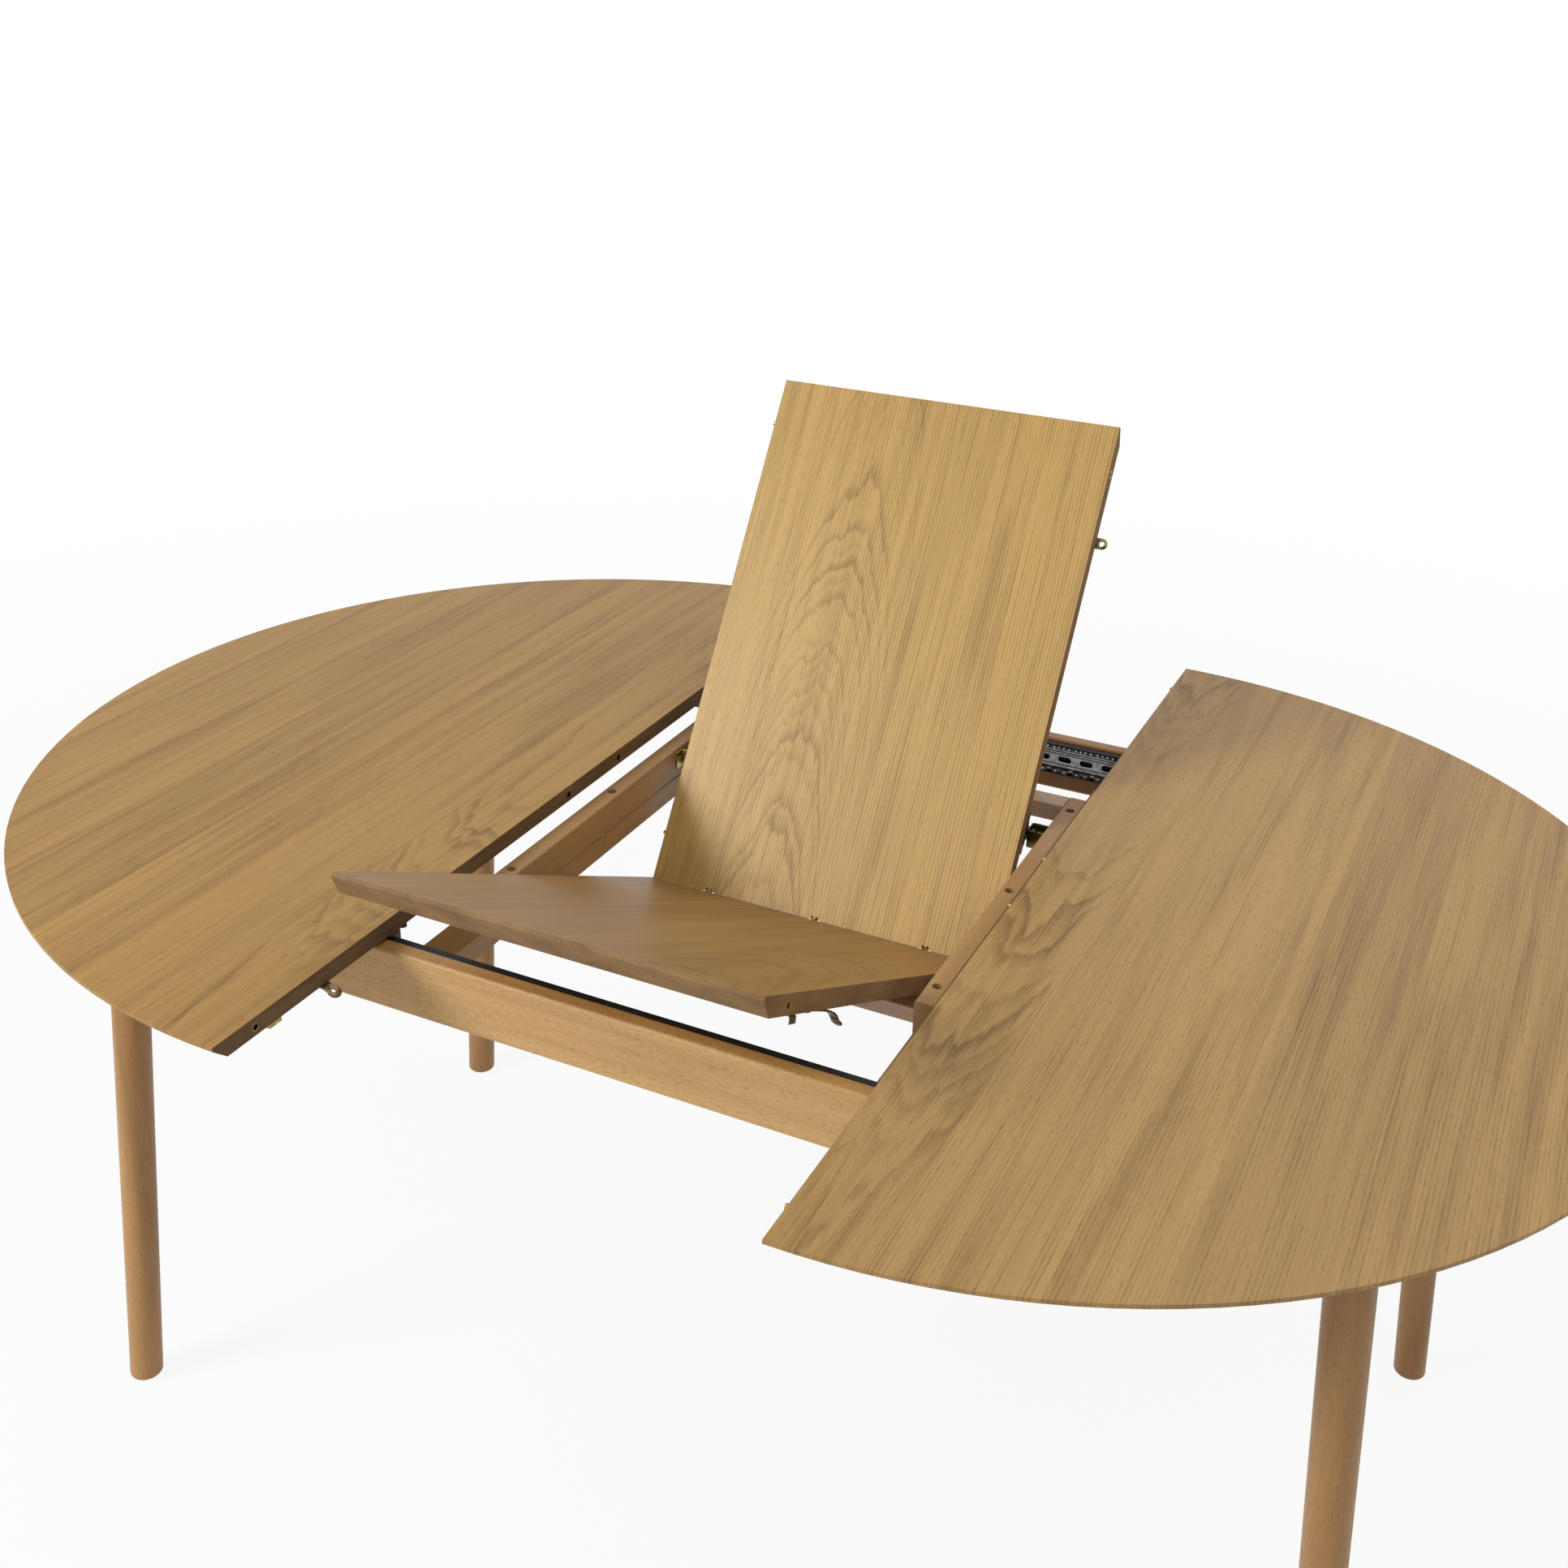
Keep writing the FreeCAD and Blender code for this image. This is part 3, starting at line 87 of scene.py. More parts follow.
def spread(tree, value, low, high, to_low=0.0, to_high=1.0):
    """A value's range stretched and clamped."""
    return add(
        tree,
        "MapRange",
        {"Value": value, "From Min": low, "From Max": high, "To Min": to_low, "To Max": to_high},
        interpolation_type="SMOOTHSTEP",
    ).outputs[0]


def seen_white(tree):
    """1 for the rays that look at the backdrop, straight or by way of a shiny face."""
    rays = add(tree, "LightPath").outputs
    looked = compute(tree, "MAXIMUM", rays["Is Camera Ray"], rays["Is Glossy Ray"])
    return compute(tree, "MAXIMUM", looked, rays["Is Transmission Ray"])


WHITE = (1, 1, 1, 1)
SKY_COLOUR, SKY_LIGHT = (1.0, 0.985, 0.96, 1), 0.37
sky = bpy.data.worlds.new("sky")
bpy.context.scene.world = sky
sky.use_nodes = True
sky_tree = sky.node_tree
sky_tree.nodes.clear()
soft_sky = add(sky_tree, "Background", {"Color": SKY_COLOUR, "Strength": SKY_LIGHT})
white_sky = add(sky_tree, "Background", {"Color": WHITE, "Strength": 1.0})
sky_mix = add(
    sky_tree,
    "MixShader",
    {0: seen_white(sky_tree), 1: soft_sky.outputs[0], 2: white_sky.outputs[0]},
)
add(sky_tree, "OutputWorld", {"Surface": sky_mix.outputs[0]})

# The floor keeps a trace of the shadow under the table, and is plain white further out.
FLOOR_SIDE = 160.0
FLOOR_COLOUR = (0.86, 0.86, 0.86, 1)
SHADOW_REACH, WHITE_REACH, WHITE_UNDER_TABLE = 1.0, 4.0, 0.9
bpy.ops.object.select_all(action="DESELECT")
bpy.ops.mesh.primitive_plane_add(size=FLOOR_SIDE, location=(0, 0, 0))
floor = bpy.context.object
floor.name = "studio_floor"
floor_paint = bpy.data.materials.new("floor_paint")
floor_paint.use_nodes = True
floor_tree = floor_paint.node_tree
floor_tree.nodes.clear()
floor_matt = add(floor_tree, "BsdfDiffuse", {"Color": FLOOR_COLOUR})
floor_glow = add(floor_tree, "Emission", {"Color": WHITE, "Strength": 1.0})
floor_place = add(floor_tree, "TexCoord").outputs["Object"]
floor_reach = add(floor_tree, "VectorMath", {0: floor_place}, operation="LENGTH").outputs["Value"]
floor_white = spread(floor_tree, floor_reach, SHADOW_REACH, WHITE_REACH, WHITE_UNDER_TABLE, 1.0)
floor_share = compute(floor_tree, "MULTIPLY", seen_white(floor_tree), floor_white)
floor_mix = add(
    floor_tree, "MixShader", {0: floor_share, 1: floor_matt.outputs[0], 2: floor_glow.outputs[0]}
)
add(floor_tree, "OutputMaterial", {"Surface": floor_mix.outputs[0]})
floor.data.materials.append(floor_paint)

# name, where it hangs, what it points at, its sides, its watts
LAMPS = (
    ("left_lamp", (-1.95, -2.1, 2.2), (0.0, 0.0, 0.75), 1.0, 72),
    ("right_lamp", (1.9, -1.7, 2.9), (0.0, 0.0, 0.75), 1.6, 10),
    ("top_lamp", (0.9, 0.8, 3.2), (0.3, 0.0, 0.7), 2.4, 20),
)
for lamp_name, place, target, side, watts in LAMPS:
    lamp_data = bpy.data.lights.new(lamp_name, "AREA")
    lamp_data.size = side
    lamp_data.energy = watts
    lamp = bpy.data.objects.new(lamp_name, lamp_data)
    bpy.context.scene.collection.objects.link(lamp)
    lamp.location = place
    lamp.rotation_euler = (Vector(target) - Vector(place)).to_track_quat("-Z", "Y").to_euler()


# ---------------------------------------------------------------------------
# The two half tops. Each is a fibreboard faced with oak veneer, its leaves laid
# side by side with the grain along the split, its round rim slimmed underneath
# and its split edge left as bare brown board.
def grained(tree, vector, detail=2.0, rough=0.5):
    """Cloudy noise from 0 to 1."""
    return add(
        tree, "TexNoise", {"Vector": vector, "Scale": 1.0, "Detail": detail, "Roughness": rough}
    ).outputs[0]


def drawn_out(tree, vector, factors, detail=2.0, rough=0.5):
    """Cloudy noise that is longer one way: its place is stretched by three factors."""
    place = add(tree, "VectorMath", {0: vector, 1: factors}, operation="MULTIPLY").outputs[0]
    return grained(tree, place, detail, rough)


def around_zero(tree, value, factor=1.0):
    """A value from 0 to 1 moved to lie about zero, times a factor."""
    return compute(tree, "MULTIPLY", compute(tree, "SUBTRACT", value, 0.5), factor)


def blended(tree, share, first, second):
    """Two colours mixed by a share."""
    return add(tree, "Mix", {0: share, 6: first, 7: second}, data_type="RGBA").outputs[2]


GROUP_GIVES = {
    "Color": "NodeSocketColor", "Roughness": "NodeSocketFloat", "Height": "NodeSocketFloat",
}


def new_group(name, takes):
    """An empty node group with its sockets, and its two end nodes' sockets."""
    group = bpy.data.node_groups.new(name, "ShaderNodeTree")
    for label, (kind, value) in takes.items():
        socket = group.interface.new_socket(label, in_out="INPUT", socket_type="NodeSocket" + kind)
        if value is not None:
            socket.default_value = value
    for label, kind in GROUP_GIVES.items():
        group.interface.new_socket(label, in_out="OUTPUT", socket_type=kind)
    start = group.nodes.new("NodeGroupInput").outputs
    end = group.nodes.new("NodeGroupOutput").inputs
    return group, start, end


def give_out(group, end, *values):
    """A colour, a roughness and a height linked to a group's end."""
    for socket, value in zip(GROUP_GIVES, values):
        group.links.new(value, end[socket])


# Plain-sawn oak. Rows of pores run along the board as fine lines a few
# millimetres apart, and where the cut comes near the log's heart the year rings
# show as nested flames, because the log tapers.
oak_figure, take, give = new_group(
    "oak_figure",
    {
        "Place": ("Vector", None),
        "Seed": ("Float", 0.0),
        "Leaf Width": ("Float", 0.12),
        "Ring Pitch": ("Float", 0.0042),
        "Heart Depth": ("Float", 0.15),
        "Heart Spread": ("Float", 0.40),
        "Flame At": ("Float", 0.0),
        "Heart Shift": ("Float", 0.0),
        "Taper": ("Float", 0.18),
        "Wander": ("Float", 0.10),
        "Ripple": ("Float", 0.012),
        "Pin Pitch": ("Float", 0.0038),
        "Pin Strength": ("Float", 0.75),
        "Flame Strength": ("Float", 0.9),
        "Streak Strength": ("Float", 0.5),
        "Cloud Strength": ("Float", 0.5),
        "Leaf Difference": ("Float", 0.12),
        "Light": ("Color", (0.5, 0.36, 0.2, 1)),
        "Dark": ("Color", (0.3, 0.2, 0.1, 1)),
        "Pore": ("Color", (0.2, 0.12, 0.06, 1)),
    },
)
oak = oak_figure

# The board is laid from leaves of veneer, each from a different place in its log.
LOG_LENGTH = 7.0
at = add(oak, "SeparateXYZ", {0: take["Place"]}).outputs
leaf_count = compute(oak, "DIVIDE", at["X"], take["Leaf Width"])
leaf_count = compute(oak, "ADD", leaf_count, take["Seed"])
leaf_number = compute(oak, "FLOOR", leaf_count)
leaf_across = around_zero(oak, compute(oak, "FRACT", leaf_count), take["Leaf Width"])
chance_at = add(oak, "CombineXYZ", {0: leaf_number, 1: take["Seed"]}).outputs[0]
chance = add(oak, "TexWhiteNoise", {"Vector": chance_at}, noise_dimensions="2D").outputs["Color"]
luck = add(oak, "SeparateColor", {0: chance}).outputs
log_place = compute(oak, "MULTIPLY_ADD", luck[1], LOG_LENGTH, at["Y"])
shifted = add(oak, "CombineXYZ", {0: at["X"], 1: log_place, 2: leaf_number}).outputs[0]

# The rings: distance from the heart, less what the log has grown by there. The
# leaf with the flames has its heart set as given, and the others by chance. Each
# pattern's draw says how it is stretched across the board, along it and in depth.
WANDER_DRAW, RIPPLE_DRAW = (0.0, 2.1, 3.7), (62.0, 9.0, 1.3)
CALM_FROM, CALM_TO, CALM = 0.0004, 0.0040, 0.15
RING_EDGE, RING_FALL, RING_CHANCE = 0.30, 1.3, 1.4
FAINT_FLAME = 0.15
flame_count = compute(oak, "DIVIDE", take["Flame At"], take["Leaf Width"])
flame_number = compute(oak, "FLOOR", compute(oak, "ADD", flame_count, take["Seed"]))
apart = compute(oak, "ABSOLUTE", compute(oak, "SUBTRACT", flame_number, leaf_number))
chosen = compute(oak, "LESS_THAN", apart, 0.5)
others = compute(oak, "SUBTRACT", 1.0, chosen)
heart = compute(oak, "MULTIPLY", around_zero(oak, luck[0], take["Heart Spread"]), others)
heart = compute(oak, "MULTIPLY_ADD", take["Heart Shift"], chosen, heart)
from_heart = compute(oak, "SUBTRACT", leaf_across, heart)
from_heart = compute(oak, "MULTIPLY", from_heart, from_heart)
radius = compute(oak, "DIVIDE", from_heart, take["Heart Depth"])
wander = around_zero(oak, drawn_out(oak, shifted, WANDER_DRAW, 1.0), take["Wander"])
growth = compute(oak, "MULTIPLY_ADD", at["Y"], take["Taper"], wander)
radius = compute(oak, "SUBTRACT", radius, growth)
near_heart = spread(oak, from_heart, CALM_FROM, CALM_TO, 1.0, CALM)
ripple = around_zero(oak, drawn_out(oak, shifted, RIPPLE_DRAW, 2.0, 0.55), near_heart)
radius = compute(oak, "MULTIPLY_ADD", ripple, take["Ripple"], radius)
ring = compute(oak, "DIVIDE", radius, take["Ring Pitch"])
late = compute(oak, "FRACT", ring)
early = compute(oak, "POWER", compute(oak, "SUBTRACT", 1.0, late), RING_FALL)
early = compute(oak, "MULTIPLY", early, spread(oak, late, 0.0, RING_EDGE))
ring_number = compute(oak, "FLOOR", ring)
ring_luck = add(oak, "TexWhiteNoise", {"W": ring_number}, noise_dimensions="1D").outputs["Value"]
flame = compute(oak, "MULTIPLY", early, compute(oak, "POWER", ring_luck, RING_CHANCE))
flame = compute(oak, "MULTIPLY", flame, compute(oak, "MULTIPLY_ADD", near_heart, 0.5, 0.5))
flame_share = compute(oak, "MULTIPLY_ADD", chosen, 1.0 - FAINT_FLAME, FAINT_FLAME)
flame = compute(oak, "MULTIPLY", flame, flame_share)
flame = compute(oak, "MULTIPLY", flame, take["Flame Strength"])

# The pore rows, each with its own strength, and broken along its length.
SLOW_SWAY_DRAW, QUICK_SWAY_DRAW = (11.0, 1.1, 0.7), (95.0, 5.0, 0.7)
SLOW_SWAY, QUICK_SWAY = 0.016, 0.0009
ROW_CORE, ROW_EDGE = 0.02, 0.30
BREAK_ACROSS, BREAK_ALONG = 1.7, 16.0
slow_sway = around_zero(oak, drawn_out(oak, shifted, SLOW_SWAY_DRAW), SLOW_SWAY)
quick_sway = around_zero(oak, drawn_out(oak, shifted, QUICK_SWAY_DRAW, 1.0), QUICK_SWAY)
swayed = compute(oak, "ADD", at["X"], compute(oak, "ADD", slow_sway, quick_sway))
row_count = compute(oak, "DIVIDE", swayed, take["Pin Pitch"])
row_number = compute(oak, "FLOOR", row_count)
row_side = compute(oak, "SUBTRACT", compute(oak, "FRACT", row_count), 0.5)
row_line = spread(oak, compute(oak, "ABSOLUTE", row_side), ROW_CORE, ROW_EDGE, 1.0, 0.0)
row_at = add(oak, "CombineXYZ", {0: row_number, 1: take["Seed"]}).outputs[0]
row_luck = add(oak, "TexWhiteNoise", {"Vector": row_at}, noise_dimensions="2D").outputs["Value"]
row_strength = spread(oak, row_luck, 0.0, 1.0, 0.4, 1.0)
break_across = compute(oak, "MULTIPLY", row_number, BREAK_ACROSS)
break_along = compute(oak, "MULTIPLY", log_place, BREAK_ALONG)
break_at = add(oak, "CombineXYZ", {0: break_across, 1: break_along}).outputs[0]
row_break = spread(oak, grained(oak, break_at), 0.30, 0.62, 0.5, 1.0)
rows = compute(oak, "MULTIPLY", row_line, compute(oak, "MULTIPLY", row_break, row_strength))

# Single pores, streaks as wide as a finger, and slow clouds of colour.
PORE_DRAW, FINE_DRAW, STREAK_DRAW = (1250.0, 85.0, 1.0), (520.0, 7.0, 2.0), (62.0, 2.2, 2.0)
TONGUE_DRAW, CLOUD_DRAW = (38.0, 1.9, 3.3), (8.0, 1.6, 5.1)
FINE_SHARE, CLOUD_SHARE, PORE_SHARE, TONE_START = 0.75, 1.2, 0.62, 0.05
ROW_DEPTH, PORE_DEPTH = -0.35, -1.0
SMOOTH_OAK, PORE_ROUGH = 0.42, 0.58
pores = spread(oak, drawn_out(oak, shifted, PORE_DRAW, 1.0), 0.52, 0.72)
pores = compute(oak, "MULTIPLY", pores, compute(oak, "MULTIPLY_ADD", rows, 0.7, 0.3))
streak = around_zero(oak, drawn_out(oak, shifted, STREAK_DRAW, 3.0, 0.6), 2.0)
fine = around_zero(oak, drawn_out(oak, shifted, FINE_DRAW, 2.0, 0.6))
clouds = around_zero(oak, drawn_out(oak, shifted, CLOUD_DRAW), take["Cloud Strength"])
tongue = spread(oak, drawn_out(oak, shifted, TONGUE_DRAW), 0.56, 0.60)
tongue = compute(oak, "MULTIPLY", tongue, compute(oak, "MULTIPLY_ADD", chosen, -0.13, 0.15))
rows = compute(oak, "MULTIPLY", rows, compute(oak, "MULTIPLY_ADD", chosen, -0.25, 1.0))
tone = compute(oak, "MULTIPLY_ADD", rows, take["Pin Strength"], compute(oak, "ADD", flame, tongue))
tone = compute(oak, "MULTIPLY_ADD", streak, take["Streak Strength"], tone)
tone = compute(oak, "MULTIPLY_ADD", fine, FINE_SHARE, tone)
tone = compute(oak, "MULTIPLY_ADD", clouds, CLOUD_SHARE, tone)
tone = compute(oak, "ADD", tone, TONE_START, clamp=True)
wood = blended(oak, tone, take["Light"], take["Dark"])
wood = blended(oak, compute(oak, "MULTIPLY", pores, PORE_SHARE), wood, take["Pore"])
shade = compute(oak, "ADD", around_zero(oak, luck[2], take["Leaf Difference"]), 1.0)
tinted = add(oak, "HueSaturation", {"Hue": 0.5, "Saturation": 1.0, "Value": shade, "Color": wood})
sunk = compute(oak, "MULTIPLY_ADD", rows, ROW_DEPTH, compute(oak, "MULTIPLY", pores, PORE_DEPTH))
oak_rough = spread(oak, pores, 0.0, 1.0, SMOOTH_OAK, PORE_ROUGH)
give_out(oak, give, tinted.outputs[0], oak_rough, sunk)

# Bare fibreboard: pressed wood dust, speckled, darker where the saw burnished it.
bare_board, take, give = new_group(
    "bare_board",
    {
        "Place": ("Vector", None),
        "Light": ("Color", (0.2, 0.12, 0.06, 1)),
        "Dark": ("Color", (0.08, 0.045, 0.02, 1)),
    },
)
DUST_DRAW, SMEAR_DRAW = (900.0, 900.0, 900.0), (30.0, 14.0, 90.0)
dust = drawn_out(bare_board, take["Place"], DUST_DRAW, 3.0, 0.65)
smear = drawn_out(bare_board, take["Place"], SMEAR_DRAW, 3.0)
DUST_SHARE, SMEAR_SHARE = 0.75, 0.55
dusty = compute(bare_board, "MULTIPLY", dust, DUST_SHARE)
speckle = compute(bare_board, "MULTIPLY_ADD", smear, SMEAR_SHARE, dusty)
speckle = spread(bare_board, speckle, 0.42, 0.86)
board_colour = blended(bare_board, speckle, take["Dark"], take["Light"])
dust_rough = spread(bare_board, dust, 0.3, 0.7, 0.62, 0.8)
give_out(bare_board, give, board_colour, dust_rough, dust)


def place_group(tree, group, feeds):
    """A node group set into a material with its own values."""
    return add(tree, "Group", feeds, node_tree=group).outputs


def turned_place(tree, centre=(0, 0, 0), turn=(0, 0, 0)):
    """Object coordinates seen from a piece's own corner and turn, so its grain runs along Y."""
    coordinates = add(tree, "TexCoord").outputs["Object"]
    return add(
        tree,
        "Mapping",
        {"Vector": coordinates, "Location": centre, "Rotation": turn},
        vector_type="TEXTURE",
    ).outputs[0]


SHINE = 0.32


def finish_surface(material, colour, rough, height, bump, distance=0.0004, metallic=0.0):
    """A principled shader fed by a colour, a roughness and a bump."""
    tree = material.node_tree
    raised = add(tree, "Bump", {"Strength": bump, "Distance": distance, "Height": height})
    shader = add(
        tree,
        "BsdfPrincipled",
        {
            "Base Color": colour,
            "Roughness": rough,
            "Metallic": metallic,
            "Specular IOR Level": SHINE,
            "Normal": raised.outputs[0],
        },
    )
    add(tree, "OutputMaterial", {"Surface": shader.outputs[0]})


def new_material(name):
    """A material with an empty node tree."""
    material = bpy.data.materials.new(name)
    material.use_nodes = True
    material.node_tree.nodes.clear()
    return material


def dress(material, *names):
    """The material goes on the CAD nodes' own slots."""
    for name in names:
        held = nodes[name].data.materials
        if len(held):
            for number in range(len(held)):
                held[number] = material
        else:
            held.append(material)


def veneered(material, place, figure, bare, board_light, board_dark, board_rough, bump):
    """Oak veneer where bare is 0, and the fibreboard that carries it where bare is 1."""
    tree = material.node_tree
    veneer = place_group(tree, oak_figure, {"Place": place, **figure})
    board = place_group(
        tree, bare_board, {"Place": place, "Light": board_light, "Dark": board_dark}
    )
    colour = blended(tree, bare, veneer["Color"], board["Color"])
    board_roughness = compute(tree, "MULTIPLY", bare, board_rough)
    rough = compute(tree, "MAXIMUM", veneer["Roughness"], board_roughness)
    finish_surface(material, colour, rough, veneer["Height"], bump)


# The bare board shows on the split edge, below the veneer that lies on its top.
VENEER_BOTTOM, SPLIT_EDGE = 0.7497, 0.2529
for half, seed, flame_at, pin, light, dark in (
    ("left", 3.31, -0.30, 0.44, (0.378, 0.214, 0.056, 1), (0.180, 0.088, 0.020, 1)),
    ("right", 8.62, 0.31, 0.42, (0.450, 0.270, 0.095, 1), (0.210, 0.112, 0.034, 1)),
):
    top_oak = new_material(half + "_top_oak")
    tree = top_oak.node_tree
    place = turned_place(tree)
    at = add(tree, "SeparateXYZ", {0: place}).outputs
    inward = compute(tree, "LESS_THAN", compute(tree, "ABSOLUTE", at["X"]), SPLIT_EDGE)
    below = compute(tree, "LESS_THAN", at["Z"], VENEER_BOTTOM)
    top_figure = {
        "Seed": seed, "Light": light, "Dark": dark, "Pore": (0.125, 0.060, 0.018, 1),
        "Leaf Width": 0.098, "Taper": 0.12, "Leaf Difference": 0.15, "Streak Strength": 0.95,
        "Flame At": flame_at, "Ring Pitch": 0.0066, "Pin Strength": pin, "Cloud Strength": 0.75,
        "Ripple": 0.015, "Flame Strength": 1.3,
    }
    veneered(
        top_oak, place, top_figure, compute(tree, "MULTIPLY", inward, below),
        board_light=(0.190, 0.112, 0.050, 1), board_dark=(0.088, 0.049, 0.020, 1),
        board_rough=0.75, bump=0.12,
    )
    dress(top_oak, half + "_top")


# ---------------------------------------------------------------------------
# The folding leaf: two panels of the same veneered board, hinged face to face
# across the middle. The far one stands up and the near one dips, half open.
FOLD = (0.0, 0.038297, 0.607782)
FAR_TURN, NEAR_TURN = (math.radians(57.7), 0, 0), (math.radians(-27.0), 0, 0)
LEAF_SEED = 5.9286
LEAF_BOARD_TOP, LEAF_BOARD_BOTTOM = -0.0006, -0.0180
# Though both panels are the one board, the far panel's colours are painted lighter and the near
# panel's darker: painted light on the far panel, which faces the lamps, and painted shade on the
# near one.
for panel, turn, light, dark, extras in (
    ("leaf_far_panel", FAR_TURN, (0.550, 0.352, 0.118, 1), (0.235, 0.124, 0.032, 1),
     {"Taper": -0.17, "Flame At": -0.09, "Wander": 0.05, "Pin Strength": 0.70}),
    ("leaf_near_panel", NEAR_TURN, (0.320, 0.172, 0.052, 1), (0.150, 0.076, 0.022, 1),
     {"Taper": -0.16, "Flame At": 0.11, "Flame Strength": 0.9, "Pin Strength": 0.16,
      "Ring Pitch": 0.0060, "Cloud Strength": 0.9}),
):
    leaf_oak = new_material(panel + "_oak")
    tree = leaf_oak.node_tree
    place = turned_place(tree, FOLD, turn)
    at = add(tree, "SeparateXYZ", {0: place}).outputs
    under_face = compute(tree, "LESS_THAN", at["Z"], LEAF_BOARD_TOP)
    over_back = compute(tree, "GREATER_THAN", at["Z"], LEAF_BOARD_BOTTOM)
    leaf_figure = {
        "Seed": LEAF_SEED, "Light": light, "Dark": dark, "Pore": (0.20, 0.125, 0.060, 1),
        "Leaf Difference": 0.10, "Leaf Width": 0.21, "Heart Shift": 0.02,
        "Streak Strength": 0.62, **extras,
    }
    veneered(
        leaf_oak, place, leaf_figure, compute(tree, "MULTIPLY", under_face, over_back),
        board_light=(0.300, 0.172, 0.070, 1), board_dark=(0.145, 0.078, 0.029, 1),
        board_rough=0.7, bump=0.15,
    )
    dress(leaf_oak, panel)


# ---------------------------------------------------------------------------
# The base's long rails, its cross beams and the loose boards: planed rubberwood,
# rubbed with oil, pale gold with short dark pore flecks, and screwed together.
plantation_wood, take, give = new_group(
    "plantation_wood",
    {
        "Place": ("Vector", None),
        "Seed": ("Float", 0.0),
        "Light": ("Color", (0.6, 0.36, 0.14, 1)),
        "Dark": ("Color", (0.4, 0.21, 0.08, 1)),
        "Fleck": ("Color", (0.22, 0.11, 0.04, 1)),
    },
)
BAND_SHARE, HAZE_SHARE, THREAD_SHARE, FLECK_SHARE, EVEN_TONE = 1.7, 1.2, 0.5, 0.55, 0.36
BAND_DRAW, HAZE_DRAW = (42.0, 3.2, 42.0), (9.0, 2.4, 9.0)
THREAD_DRAW, FLECK_DRAW = (420.0, 12.0, 420.0), (1500.0, 150.0, 1500.0)
rub = plantation_wood
seeded = add(rub, "CombineXYZ", {0: take["Seed"], 1: take["Seed"], 2: take["Seed"]}).outputs[0]
spot = add(rub, "VectorMath", {0: take["Place"], 1: seeded}, operation="ADD").outputs[0]
band = compute(rub, "SUBTRACT", drawn_out(rub, spot, BAND_DRAW), 0.5)
haze = compute(rub, "SUBTRACT", drawn_out(rub, spot, HAZE_DRAW), 0.5)
thread = compute(rub, "SUBTRACT", drawn_out(rub, spot, THREAD_DRAW), 0.5)
flecks = spread(rub, drawn_out(rub, spot, FLECK_DRAW, 1.0, 0.4), 0.56, 0.72)
tone = compute(rub, "MULTIPLY_ADD", band, BAND_SHARE, EVEN_TONE)
tone = compute(rub, "MULTIPLY_ADD", haze, HAZE_SHARE, tone)
tone = compute(rub, "MULTIPLY_ADD", thread, THREAD_SHARE, tone, clamp=True)
wood = blended(rub, tone, take["Light"], take["Dark"])
wood = blended(rub, compute(rub, "MULTIPLY", flecks, FLECK_SHARE), wood, take["Fleck"])
sunk = compute(rub, "MULTIPLY", flecks, -1.0)
give_out(rub, give, wood, spread(rub, flecks, 0.0, 1.0, 0.42, 0.6), sunk)

FLECK, DARK_SIDE_HUE = (0.24, 0.125, 0.045, 1), 0.495
ALONG_GRAIN = {"X": (0, 0, -math.pi / 2), "Y": (0, 0, 0), "Z": (math.pi / 2, 0, 0)}


def sawn_wood(name, seed, along, light, dark, fleck=FLECK, darker_side=None):
    """Rubberwood whose grain runs along one axis of the object, one side of it painted darker."""
    made = new_material(name)
    tree = made.node_tree
    place = turned_place(tree, turn=ALONG_GRAIN[along])
    wood = place_group(
        tree, plantation_wood,
        {"Place": place, "Seed": seed, "Light": light, "Dark": dark, "Fleck": fleck},
    )
    colour = wood["Color"]
    # One side, picked by its place, is painted darker and more saturated; on the back rail this is
    # painted shade.
    if darker_side:
        axis, test, limit, saturation, value = darker_side
        side = add(tree, "SeparateXYZ", {0: turned_place(tree)}).outputs[axis]
        shade = add(
            tree, "HueSaturation",
            {"Hue": DARK_SIDE_HUE, "Saturation": saturation, "Value": value, "Color": colour},
        )
        colour = blended(tree, compute(tree, test, side, limit), colour, shade.outputs[0])
    finish_surface(made, colour, wood["Roughness"], wood["Height"], bump=0.12)
    return made


RAIL_TOP, RAIL_INSIDE = 0.7277, 0.3628
# The front rail's top face is painted darker and a little more saturated than its other faces.
front_rail_wood = sawn_wood(
    "front_rail_wood", 1.7, "X", (0.63, 0.395, 0.160, 1), (0.44, 0.245, 0.088, 1),
    darker_side=("Z", "GREATER_THAN", RAIL_TOP, 1.08, 0.88),
)
# The back rail's inner face is painted darker and more saturated: painted shade, for the shadow it
# lies in under the slide.
back_rail_wood = sawn_wood(
    "back_rail_wood", 6.1, "X", (0.48, 0.265, 0.110, 1), (0.28, 0.140, 0.050, 1),
    darker_side=("Y", "LESS_THAN", RAIL_INSIDE, 1.22, 0.42),
)
beam_wood = sawn_wood("beam_wood", 3.9, "Y", (0.45, 0.262, 0.104, 1), (0.28, 0.150, 0.056, 1))
pale_board = sawn_wood(
    "pale_board", 9.4, "X", (0.52, 0.36, 0.245, 1), (0.34, 0.22, 0.145, 1), (0.22, 0.13, 0.08, 1)
)
dress(front_rail_wood, "front_rail")
dress(back_rail_wood, "back_rail")
for half in ("left", "right"):
    dress(beam_wood, half + "_cross_beam_lower", half + "_cross_beam_upper")
dress(pale_board, "far_cross_board", "near_support_slat")


